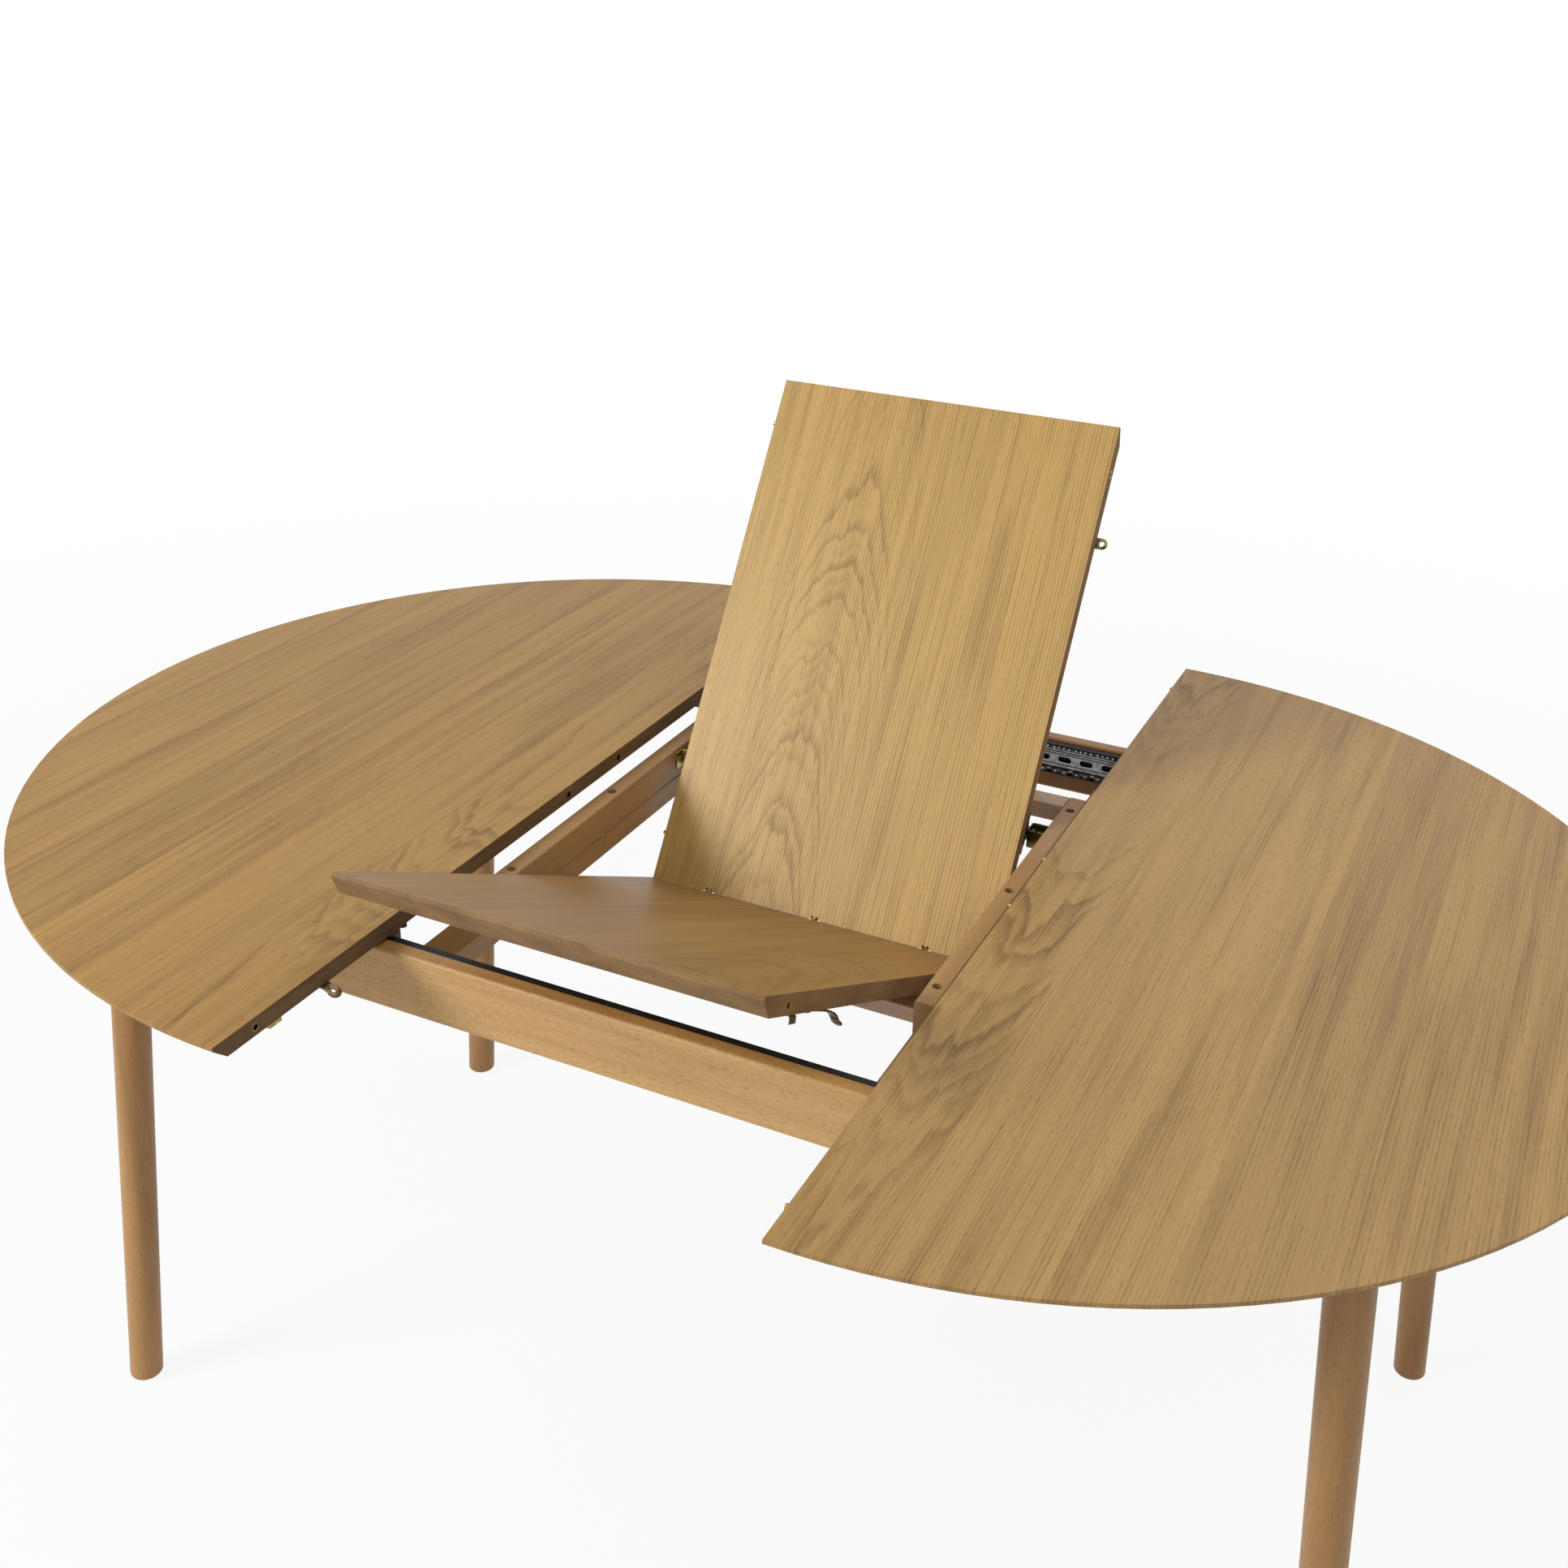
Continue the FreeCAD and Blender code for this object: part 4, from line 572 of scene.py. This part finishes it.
# ---------------------------------------------------------------------------
# The turned legs, the end aprons, the runners and the corner blocks: the same
# rubberwood, stained a little redder to go with the oak, screwed under the tops.
leg_wood = sawn_wood("leg_wood", 12.3, "Z", (0.45, 0.245, 0.090, 1), (0.29, 0.145, 0.050, 1))
apron_wood = sawn_wood("apron_wood", 15.8, "Y", (0.45, 0.27, 0.125, 1), (0.29, 0.16, 0.070, 1))
runner_wood = sawn_wood("runner_wood", 18.2, "X", (0.50, 0.33, 0.17, 1), (0.33, 0.20, 0.10, 1))
for half in ("left", "right"):
    dress(leg_wood, half + "_front_leg", half + "_back_leg")
    dress(apron_wood, half + "_end_apron")
    dress(runner_wood, half + "_runners", half + "_corner_blocks")


# ---------------------------------------------------------------------------
# The slides: a blackened outer member screwed along each rail, a bright slotted
# one that runs in it, and a dark inner one under each runner, all rolled from
# steel strip. The plating is a little cloudy, and fine scratches break its shine.
plated, take, give = new_group(
    "plated",
    {
        "Place": ("Vector", None),
        "Bright": ("Color", (0.6, 0.6, 0.6, 1)),
        "Dull": ("Color", (0.4, 0.4, 0.4, 1)),
        "Smooth": ("Float", 0.25),
        "Rough": ("Float", 0.5),
    },
)
PLATING_DRAW, SCRATCH_DRAW = (160.0, 160.0, 160.0), (60.0, 2600.0, 2600.0)
cloud = drawn_out(plated, take["Place"], PLATING_DRAW, 3.0)
scratch = drawn_out(plated, take["Place"], SCRATCH_DRAW)
cloudy = spread(plated, cloud, 0.35, 0.68)
plating = blended(plated, cloudy, take["Bright"], take["Dull"])
SCRATCH_SHARE, DULL_SHARE = 0.4, 0.6
clouded = compute(plated, "MULTIPLY", cloudy, DULL_SHARE)
worn = compute(plated, "MULTIPLY_ADD", scratch, SCRATCH_SHARE, clouded)
rough_metal = add(
    plated, "Mix", {0: worn, 2: take["Smooth"], 3: take["Rough"]}, data_type="FLOAT"
).outputs[0]
give_out(plated, give, plating, rough_metal, scratch)


def metal(name, bright, dull, smooth, rough, metallic=1.0):
    """Plated or painted steel."""
    made = new_material(name)
    tree = made.node_tree
    skin = place_group(
        tree, plated,
        {"Place": turned_place(tree), "Bright": (*bright, 1), "Dull": (*dull, 1),
         "Smooth": smooth, "Rough": rough},
    )
    finish_surface(
        made, skin["Color"], skin["Roughness"], skin["Height"], bump=0.05, distance=0.0001,
        metallic=metallic,
    )
    return made


black_steel = metal("black_steel", (0.008, 0.008, 0.008), (0.013, 0.013, 0.014), 0.45, 0.7, 0.0)
bright_steel = metal("bright_steel", (0.27, 0.278, 0.285), (0.19, 0.195, 0.20), 0.24, 0.40)
dark_steel = metal("dark_steel", (0.09, 0.09, 0.095), (0.05, 0.05, 0.055), 0.3, 0.5)
black_plastic = metal("black_plastic", (0.02, 0.02, 0.022), (0.03, 0.03, 0.032), 0.45, 0.65, 0.0)
dress(black_steel, "front_slide_outer", "back_slide_outer")
for half in ("left", "right"):
    dress(bright_steel, half + "_front_slide_middle", half + "_back_slide_middle")
    dress(dark_steel, half + "_front_slide_inner", half + "_back_slide_inner")
    dress(black_plastic, half + "_slide_stops")


# ---------------------------------------------------------------------------
# The ball cages of the slides. Each middle member runs on two rows of steel
# balls, held by a punched black strip above it and a strip of paired lobes below.
def alone(piece):
    """Only this piece picked, and active."""
    bpy.ops.object.select_all(action="DESELECT")
    piece.select_set(True)
    bpy.context.view_layer.objects.active = piece


def placed(piece, place=(0, 0, 0), turn=(0, 0, 0), scale=(1, 1, 1)):
    """A piece scaled, turned and moved, with its place kept in its mesh."""
    alone(piece)
    piece.location = place
    piece.rotation_euler = turn
    piece.scale = scale
    bpy.ops.object.transform_apply(location=True, rotation=True, scale=True)
    return piece


def started_block(name, low, high):
    """A block between two corners, ready to be shaped."""
    bpy.ops.object.select_all(action="DESELECT")
    bpy.ops.mesh.primitive_cube_add(size=1.0, location=(0, 0, 0))
    piece = bpy.context.object
    piece.name = name
    middle = [(first + second) / 2 for first, second in zip(low, high)]
    return placed(piece, middle, scale=[second - first for first, second in zip(low, high)])


def pick_in(piece, kind, test):
    """Edit mode, with the faces or edges picked whose middle and direction pass the test."""
    alone(piece)
    mesh = piece.data
    for parts in (mesh.vertices, mesh.edges, mesh.polygons):
        parts.foreach_set("select", [False] * len(parts))
    if kind == "FACE":
        for face in mesh.polygons:
            face.select = bool(test(face.center, face.normal))
    else:
        for edge in mesh.edges:
            first, second = (mesh.vertices[number].co for number in edge.vertices)
            edge.select = bool(test((first + second) / 2, (second - first).normalized()))
    bpy.context.tool_settings.mesh_select_mode = (False, kind == "EDGE", kind == "FACE")
    bpy.ops.object.mode_set(mode="EDIT")


def leave_edit():
    """Back to object mode."""
    bpy.ops.object.mode_set(mode="OBJECT")


def bevelled(piece, width, steps, test):
    """The edges that pass the test rounded over."""
    pick_in(piece, "EDGE", test)
    bpy.ops.mesh.bevel(offset=width, segments=steps, affect="EDGES")
    leave_edit()


def pressed(piece, test, *steps):
    """The faces that pass the test inset, step by step, by a width and a depth."""
    pick_in(piece, "FACE", test)
    for width, depth in steps:
        bpy.ops.mesh.inset(thickness=width, depth=depth)
    leave_edit()


def facing_out(piece):
    """Every face turned outwards."""
    alone(piece)
    bpy.ops.object.mode_set(mode="EDIT")
    bpy.ops.mesh.select_all(action="SELECT")
    bpy.ops.mesh.normals_make_consistent(inside=False)
    leave_edit()


def applied(piece, kind, **settings):
    """A modifier set up and applied."""
    alone(piece)
    change = piece.modifiers.new(kind.lower(), kind)
    for name, value in settings.items():
        setattr(change, name, value)
    bpy.ops.object.modifier_apply(modifier=change.name)


def copied(piece, move=(0, 0, 0), mirror=(1, 1, 1)):
    """A copy with its own mesh, moved or mirrored, its faces still outwards."""
    alone(piece)
    bpy.ops.object.duplicate()
    twin = placed(bpy.context.object, move, scale=mirror)
    if mirror[0] * mirror[1] * mirror[2] < 0:
        facing_out(twin)
    return twin


def as_one(name, *pieces):
    """Several meshes joined into one piece."""
    bpy.ops.object.select_all(action="DESELECT")
    for piece in pieces:
        piece.select_set(True)
    bpy.context.view_layer.objects.active = pieces[0]
    bpy.ops.object.join()
    joined = bpy.context.object
    joined.name = name
    return joined


def rounded(piece, angle=40):
    """Smooth shading up to an angle."""
    alone(piece)
    bpy.ops.object.shade_smooth_by_angle(angle=math.radians(angle))


# How nearly an edge or a face has to point along an axis to be picked, and how
# close to a plane it has to lie.
STRAIGHT, CLOSE = 0.9, 0.0001
CAGE_START, CAGE_PITCH, CAGE_COUNT = 0.1318, 0.0264, 13
LOBE_PITCH, LOBE_LOW, LOBE_HIGH = 0.0109, 0.68860, 0.69425


def in_a_row(piece):
    """The same shape again at each pitch of the cage."""
    applied(
        piece, "ARRAY", count=CAGE_COUNT, use_relative_offset=False, use_constant_offset=True,
        constant_offset_displace=(CAGE_PITCH, 0, 0),
    )


lobe = started_block(
    "lobe", (CAGE_START + 0.0010, 0.3535, LOBE_LOW), (CAGE_START + 0.0112, 0.3575, LOBE_HIGH)
)
bevelled(
    lobe, width=0.0038, steps=4,
    test=lambda middle, way: abs(way.y) > STRAIGHT and middle.z < LOBE_LOW + CLOSE,
)
pressed(lobe, lambda middle, normal: normal.y < -STRAIGHT, (0.0009, 0), (0.0006, -0.0007))
second_lobe = copied(lobe, (LOBE_PITCH, 0, 0))
TOOTH_FRONT = 0.3538
tooth = started_block(
    "tooth", (CAGE_START + 0.0006, TOOTH_FRONT, 0.7195), (CAGE_START + 0.0236, 0.3574, 0.7234)
)
bevelled(tooth, width=0.0009, steps=2, test=lambda middle, way: middle.y < TOOTH_FRONT + CLOSE)
cage = as_one("cage", lobe, second_lobe, tooth)
in_a_row(cage)
spines = (
    started_block("upper_spine", (0.1305, 0.3550, 0.7197), (0.4805, 0.3578, 0.7232)),
    started_block("lower_spine", (0.1305, 0.3552, 0.6901), (0.4805, 0.3578, 0.6924)),
)
for spine in spines:
    bevelled(spine, width=0.0006, steps=2, test=lambda middle, way: abs(way.x) > STRAIGHT)
cage = as_one("cage", cage, *spines)
rounded(cage)

# Only the front of a ball shows, so it is cut where the cage covers it.
BALL_RADIUS, BALL_AT, BALL_CUT = 0.0015, (CAGE_START + 0.0061, 0.3542, 0.6915), 0.3544
UPPER_BALLS, UPPER_ROW_RISE = (-0.0034, 0.0024, 0.0082, 0.0148), 0.0301
bpy.ops.object.select_all(action="DESELECT")
bpy.ops.mesh.primitive_ico_sphere_add(subdivisions=2, radius=BALL_RADIUS, location=BALL_AT)
ball = bpy.context.object
bpy.ops.object.transform_apply(location=True, rotation=True, scale=True)
pick_in(ball, "FACE", lambda middle, normal: True)
bpy.ops.mesh.bisect(
    plane_co=(0, BALL_CUT, 0), plane_no=(0, 1, 0), clear_outer=True, use_fill=True,
    xstart=0, xend=1, ystart=0, yend=1,
)
leave_edit()
row = [ball, copied(ball, (LOBE_PITCH, 0, 0))]
for along in UPPER_BALLS:
    row.append(copied(ball, (along, 0.0, UPPER_ROW_RISE)))
balls = as_one("balls", *row)
in_a_row(balls)
rounded(balls, 60)

# Rolled ribs stiffen the web of the middle member, two above its slots and one below.
RIB_FRONT, UPPER_RIB, LOWER_RIB = 0.3557, 0.0031, -0.0130
rib = started_block("rib", (0.1309, RIB_FRONT, 0.7114), (0.4801, 0.3567, 0.7126))
bevelled(
    rib, width=0.0006, steps=3,
    test=lambda middle, way: abs(way.x) > STRAIGHT and middle.y < RIB_FRONT + CLOSE,
)
ribs = as_one("ribs", rib, copied(rib, (0, 0, UPPER_RIB)), copied(rib, (0, 0, LOWER_RIB)))
rounded(ribs, 60)

cage_black = metal("cage_black", (0.085, 0.086, 0.088), (0.028, 0.028, 0.030), 0.25, 0.45, 0.9)
ball_steel = metal("ball_steel", (0.62, 0.62, 0.63), (0.45, 0.45, 0.46), 0.10, 0.25)
for pattern, label, skin, slot in (
    (cage, "ball_cages", cage_black, "black_plastic"),
    (balls, "slide_balls", ball_steel, "bright_steel"),
    (ribs, "slide_ribs", bright_steel, "bright_steel"),
):
    for half, way in (("right", 1), ("left", -1)):
        back, front = (copied(pattern, mirror=(way, side, 1)) for side in (1, -1))
        pair = as_one(half + "_" + label, back, front)
        pair.data.materials.clear()
        pair.data.materials.append(skin)
        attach(pair, half + "_slide_middle")
        if label == "ball_cages":
            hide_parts(half + "_ball_retainers")
    bpy.data.objects.remove(pattern)


# ---------------------------------------------------------------------------
# The pins, hinges, screws and glides: turned brass pins that find bushes in the
# facing edge, browned hinges let into the fold, zinced screws driven into the
# beams and legs, and a moulded glide nailed under each foot.
brass = metal("brass", (0.62, 0.43, 0.17), (0.40, 0.27, 0.10), 0.2, 0.4)
dark_brass = metal("dark_brass", (0.26, 0.17, 0.075), (0.09, 0.058, 0.026), 0.25, 0.45)
screw_zinc = metal("screw_zinc", (0.55, 0.52, 0.45), (0.36, 0.34, 0.30), 0.25, 0.45)
dress(brass, "right_pins", "far_leaf_dowels", "near_leaf_dowels")
dress(dark_brass, "left_sockets", "far_hinge_barrels", "near_hinge_barrels", "hinge_pins")
dress(screw_zinc, "beam_screws", "slat_screws", "left_leg_bolts", "right_leg_bolts")
dress(black_plastic, "left_foot_glides", "right_foot_glides")


# ---------------------------------------------------------------------------
# The fold of the leaf. A lipping of hard wood, thin as a card, edges each panel
# along the fold and fills the joint between them, broken only at the hinges.
LIP_RUNS = ((-0.2008, -0.1373), (-0.1227, -0.0073), (0.0073, 0.1227), (0.1373, 0.2008))
LIP_INSIDE, LIP_OUTSIDE = 0.00004, 0.00028
LIP_BOTTOM, LIP_TOP = -0.0176, -0.00002
lip_wood = sawn_wood("lip_wood", 21.4, "X", (0.20, 0.125, 0.055, 1), (0.12, 0.070, 0.030, 1))
for panel, turn, side in (("far", FAR_TURN, 1), ("near", NEAR_TURN, -1)):
    front, back = sorted((LIP_INSIDE * side, LIP_OUTSIDE * side))
    strips = []
    for start, end in LIP_RUNS:
        strip = started_block("strip", (start, front, LIP_BOTTOM), (end, back, LIP_TOP))
        bevelled(strip, width=0.00005, steps=1, test=lambda middle, way: abs(way.z) > STRAIGHT)
        strips.append(strip)
    lipping = placed(as_one(panel + "_fold_lipping", *strips), FOLD, turn)
    lipping.data.materials.append(lip_wood)
    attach(lipping, "leaf_" + panel)


# ---------------------------------------------------------------------------
# The pivot brackets: a strap of yellow plated steel folded into a U, its feet
# screwed to the inner face of each upper beam, to carry the leaf's pivot pins.
olive_zinc = metal("olive_zinc", (0.20, 0.172, 0.066), (0.040, 0.045, 0.022), 0.22, 0.42)
gold_zinc = metal("gold_zinc", (0.48, 0.39, 0.105), (0.28, 0.24, 0.080), 0.25, 0.45)
dull_olive = metal("dull_olive", (0.060, 0.050, 0.022), (0.024, 0.021, 0.011), 0.35, 0.55, 0.3)
BRACKET_LOW, BRACKET_HIGH = (0.2020, 0.1395, 0.7018), (0.2200, 0.1575, 0.7218)
BRACKET_MIDDLE, HALF_BRACKET = 0.1485, 0.0090
STRAP_WALL, STRAP_BEND, FOOT_LENGTH = 0.0015, 0.0014, 0.0140
SHARP = math.radians(50)


def opened(piece, test):
    """The faces that pass the test taken away."""
    pick_in(piece, "FACE", test)
    bpy.ops.mesh.delete(type="FACE")
    leave_edit()


def softened(piece, width):
    """A fine bevel along every sharp edge."""
    applied(
        piece, "BEVEL", width=width, segments=2, limit_method="ANGLE", angle_limit=SHARP
    )


bracket = started_block("bracket", BRACKET_LOW, BRACKET_HIGH)
opened(bracket, lambda middle, normal: abs(normal.z) > STRAIGHT or normal.x > STRAIGHT)
bevelled(
    bracket, width=STRAP_BEND, steps=4,
    test=lambda middle, way: abs(way.z) > STRAIGHT and middle.x < BRACKET_LOW[0] + CLOSE,
)
for side in (-1, 1):
    pick_in(
        bracket, "EDGE",
        lambda middle, way: abs(way.z) > STRAIGHT and middle.x > BRACKET_HIGH[0] - CLOSE
        and (middle.y - BRACKET_MIDDLE) * side > HALF_BRACKET - CLOSE,
    )
    bpy.ops.mesh.extrude_region_move(TRANSFORM_OT_translate={"value": (0, FOOT_LENGTH * side, 0)})
    leave_edit()
facing_out(bracket)
applied(bracket, "SOLIDIFY", thickness=STRAP_WALL, offset=-1.0, use_even_offset=True)
softened(bracket, 0.0003)
rounded(bracket)
left_bracket = copied(bracket, mirror=(-1, 1, 1))
for half, piece, skin in (("right", bracket, olive_zinc), ("left", left_bracket, gold_zinc)):
    piece.name = half + "_pivot_strap"
    piece.data.materials.append(skin)
    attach(piece, "frame")
    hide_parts(half + "_pivot_bracket")
dress(dull_olive, "pivot_plates", "pivot_pins")
dress(gold_zinc, "bracket_screws")

# A cheek of the same plate lies on each pivot plate's flange, flush with the leaf's edge.
CHEEK_LOW, CHEEK_HIGH = (0.1975, 0.1230, -0.0262), (0.2006, 0.1705, -0.0183)
CHEEK_WAIST = -0.0200
STEP_LOW, STEP_HIGH = (0.1975, 0.1330, -0.0303), (0.1998, 0.1600, -0.0255)
cheek = started_block("cheek", CHEEK_LOW, CHEEK_HIGH)
bevelled(
    cheek, width=0.0050, steps=3,
    test=lambda middle, way: abs(way.x) > STRAIGHT and middle.z < CHEEK_LOW[2] + CLOSE
    and middle.y > CHEEK_HIGH[1] - CLOSE,
)
bevelled(
    cheek, width=0.0005, steps=2,
    test=lambda middle, way: abs(way.y) > STRAIGHT and middle.x > CHEEK_HIGH[0] - CLOSE
    and middle.z < CHEEK_WAIST,
)
cheek_step = started_block("cheek_step", STEP_LOW, STEP_HIGH)
bevelled(
    cheek_step, width=0.0020, steps=3,
    test=lambda middle, way: abs(way.x) > STRAIGHT and middle.z < STEP_LOW[2] + CLOSE,
)
cheek = as_one("cheek", cheek, cheek_step)
cheeks = placed(as_one("pivot_cheeks", cheek, copied(cheek, mirror=(-1, 1, 1))), FOLD, FAR_TURN)
rounded(cheeks, 35)
cheeks.data.materials.append(dull_olive)
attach(cheeks, "leaf_far")


# ---------------------------------------------------------------------------
# The locks of the halves: plated straps pressed to shape and screwed under the
# tops. Each ends in a round eye that dips down, to hook over a button.
bronze_zinc = metal("bronze_zinc", (0.22, 0.155, 0.080), (0.050, 0.038, 0.022), 0.22, 0.42)
yellow_zinc = metal("yellow_zinc", (0.60, 0.47, 0.18), (0.34, 0.33, 0.13), 0.25, 0.45)
dress(yellow_zinc, "right_lock_plates")
DISC_SIDES = 32


def strap(name, width, wall, path):
    """A flat strap pressed along a path of X and Z, its width along Y."""
    path = [Vector((along, 0, height)) for along, height in path]
    bpy.ops.object.select_all(action="DESELECT")
    bpy.ops.mesh.primitive_plane_add(size=1.0, location=(0, 0, 0))
    piece = bpy.context.object
    piece.name = name
    bpy.ops.object.mode_set(mode="EDIT")
    bpy.ops.transform.resize(value=(wall, width, 1))
    bpy.ops.transform.rotate(
        value=math.radians(90), orient_axis="Y", center_override=(0, 0, 0)
    )
    bpy.ops.transform.translate(value=path[0])
    heading = Vector((1, 0, 0))
    for here, place in zip(path, path[1:]):
        bpy.ops.mesh.extrude_region_move(TRANSFORM_OT_translate={"value": place - here})
        turned = (place - here).normalized()
        swing = math.atan2(-turned.z, turned.x) - math.atan2(-heading.z, heading.x)
        bpy.ops.transform.rotate(value=-swing * 0.5, orient_axis="Y", center_override=place)
        heading = turned
    leave_edit()
    facing_out(piece)
    return piece


def disc(name, radius, depth, place=(0, 0, 0)):
    """A round blank that lies flat, ready to be shaped."""
    bpy.ops.object.select_all(action="DESELECT")
    bpy.ops.mesh.primitive_cylinder_add(
        vertices=DISC_SIDES, radius=radius, depth=depth, location=place
    )
    piece = bpy.context.object
    piece.name = name
    bpy.ops.object.transform_apply(location=True, rotation=True, scale=True)
    return piece


def eye_ring(name, place, radius, hole, wall, dip, set_back=0.0):
    """A round eye, punched off its centre, lying along X and tipped down by an angle."""
    ring = disc(name, radius, wall)
    pick_in(ring, "FACE", lambda middle, normal: abs(normal.z) > STRAIGHT)
    bpy.ops.mesh.inset(thickness=radius - hole, depth=0, use_individual=True)
    bpy.ops.transform.translate(value=(-set_back, 0, 0))
    bpy.ops.mesh.bridge_edge_loops()
    leave_edit()
    softened(ring, wall * 0.2)
    return placed(ring, place, (0, math.radians(dip), 0))


LOCK_ACROSS = -0.4565
lock_strap = strap(
    "lock_strap", width=0.0105, wall=0.0018,
    path=((-0.2845, 0.7309), (-0.2700, 0.7309), (-0.2560, 0.7309), (-0.2520, 0.7307),
          (-0.2490, 0.7299), (-0.2460, 0.7284)),
)
lock_eye = eye_ring(
    "lock_eye", (-0.2424, 0, 0.7270), radius=0.0066, hole=0.0022, wall=0.0018, dip=30,
    set_back=0.0012,
)
left_lock = placed(as_one("left_lock_strap", lock_strap, lock_eye), (0, LOCK_ACROSS, 0))
rounded(left_lock)
left_lock.data.materials.append(bronze_zinc)

CATCH_LOW, CATCH_HIGH = (-0.2650, -0.5290, 0.7277), (-0.2527, -0.5130, 0.7320)
catch = started_block("catch", CATCH_LOW, CATCH_HIGH)
opened(catch, lambda middle, normal: normal.x < -STRAIGHT or normal.z < -STRAIGHT)
bevelled(
    catch, width=0.0015, steps=3,
    test=lambda middle, way: middle.x > CATCH_HIGH[0] - CLOSE and abs(way.z) > STRAIGHT,
)
applied(catch, "SOLIDIFY", thickness=0.0010, offset=-1.0)
rounded(catch)
catches = as_one("left_catch_plates", catch, copied(catch, mirror=(1, -1, 1)))
catches.data.materials.append(gold_zinc)
for piece in (left_lock, catches):
    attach(piece, "left_half")
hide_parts("left_lock_plates")


# ---------------------------------------------------------------------------
# The fittings under the far panel, stamped from plated steel and screwed on: a
# flat tab with an eye past its right edge, and a dished button by its left edge
# that a strap of the left half hooks over.
olive_gold = metal("olive_gold", (0.34, 0.31, 0.13), (0.060, 0.052, 0.026), 0.22, 0.42)
TAB_EYE = (0.2075, 0.4702, -0.0191)
EYE_RADIUS, HOLE_RADIUS, TAB_WALL = 0.0062, 0.0029, 0.0016
far_tab = started_block("far_tab", (0.1750, 0.4640, -0.0199), (0.2075, 0.4764, -0.0183))
for radius, depth, joint in (
    (EYE_RADIUS, TAB_WALL, "UNION"), (HOLE_RADIUS, 0.0100, "DIFFERENCE"),
):
    cutter = disc("cutter", radius, depth, TAB_EYE)
    applied(far_tab, "BOOLEAN", operation=joint, object=cutter, solver="EXACT")
    bpy.data.objects.remove(cutter)
softened(far_tab, 0.0003)
button = disc("button", radius=0.0070, depth=0.0060, place=(-0.1912, 0.4450, -0.0213))
pressed(button, lambda middle, normal: normal.z < -STRAIGHT, (0.0012, 0), (0.0016, -0.0012))
softened(button, 0.0004)
far_locks = placed(as_one("far_leaf_fittings", far_tab, button), FOLD, FAR_TURN)
rounded(far_locks)
far_locks.data.materials.append(olive_gold)
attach(far_locks, "leaf_far")
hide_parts("far_leaf_locks")


# ---------------------------------------------------------------------------
# The fittings under the near panel, of the same steel: a tab that hangs by its
# right edge, a low strike plate by the left one, and the latch, a pressed strap
# that swings about a riveted post.
LATCH_POST, LATCH_TURN = (0.189, -0.476), math.radians(76)
TAB_ACROSS = -0.5270
tab = strap(
    "tab", width=0.0125, wall=0.0015,
    path=((0.1750, -0.0191), (0.1950, -0.0191), (0.1978, -0.0196), (0.1994, -0.0210),
          (0.1998, -0.0262)),
)
placed(tab, (0, TAB_ACROSS, 0))
STRIKE_LOW, STRIKE_HIGH = (-0.2010, -0.5200, -0.0215), (-0.1850, -0.5040, -0.0183)
strike_plate = started_block("strike_plate", STRIKE_LOW, STRIKE_HIGH)
bevelled(
    strike_plate, width=0.0012, steps=2,
    test=lambda middle, way: middle.z < STRIKE_LOW[2] + CLOSE or abs(way.z) > STRAIGHT,
)
pressed(strike_plate, lambda middle, normal: normal.z < -STRAIGHT, (0.0035, -0.0008))
lever_post = disc("lever_post", radius=0.0044, depth=0.0038, place=(*LATCH_POST, -0.0202))
pressed(
    lever_post, lambda middle, normal: normal.z < -STRAIGHT, (0.0012, 0.0007), (0.0012, -0.0010)
)
near_locks = as_one("near_leaf_fittings", tab, strike_plate, lever_post)
placed(near_locks, FOLD, NEAR_TURN)
rounded(near_locks)
near_locks.data.materials.append(olive_zinc)
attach(near_locks, "leaf_near")
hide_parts("near_leaf_locks")

LATCH_WALL = 0.0016
lever_arm = strap(
    "lever_arm", width=0.0085, wall=LATCH_WALL,
    path=((0.0030, -0.0203), (0.0200, -0.0203), (0.0300, -0.0208), (0.0370, -0.0224),
          (0.0420, -0.0250), (0.0455, -0.0282)),
)
lever_eye = eye_ring(
    "lever_eye", (0.0490, 0, -0.0307), radius=0.0052, hole=0.0019, wall=LATCH_WALL, dip=33,
    set_back=0.0008,
)
lever_boss = eye_ring(
    "lever_boss", (0, 0, -0.0203), radius=0.0062, hole=0.0046, wall=LATCH_WALL, dip=0
)
lever = as_one("latch_strap", lever_arm, lever_eye, lever_boss)
placed(lever, (*LATCH_POST, 0), (0, 0, LATCH_TURN))
placed(lever, FOLD, NEAR_TURN)
rounded(lever)
lever.data.materials.append(bronze_zinc)
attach(lever, "latch_lever")
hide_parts("leaf_latch_lever")


# ---------------------------------------------------------------------------
# The end of the work. Colours are shown as they are written.
bpy.context.scene.view_settings.view_transform = "Standard"
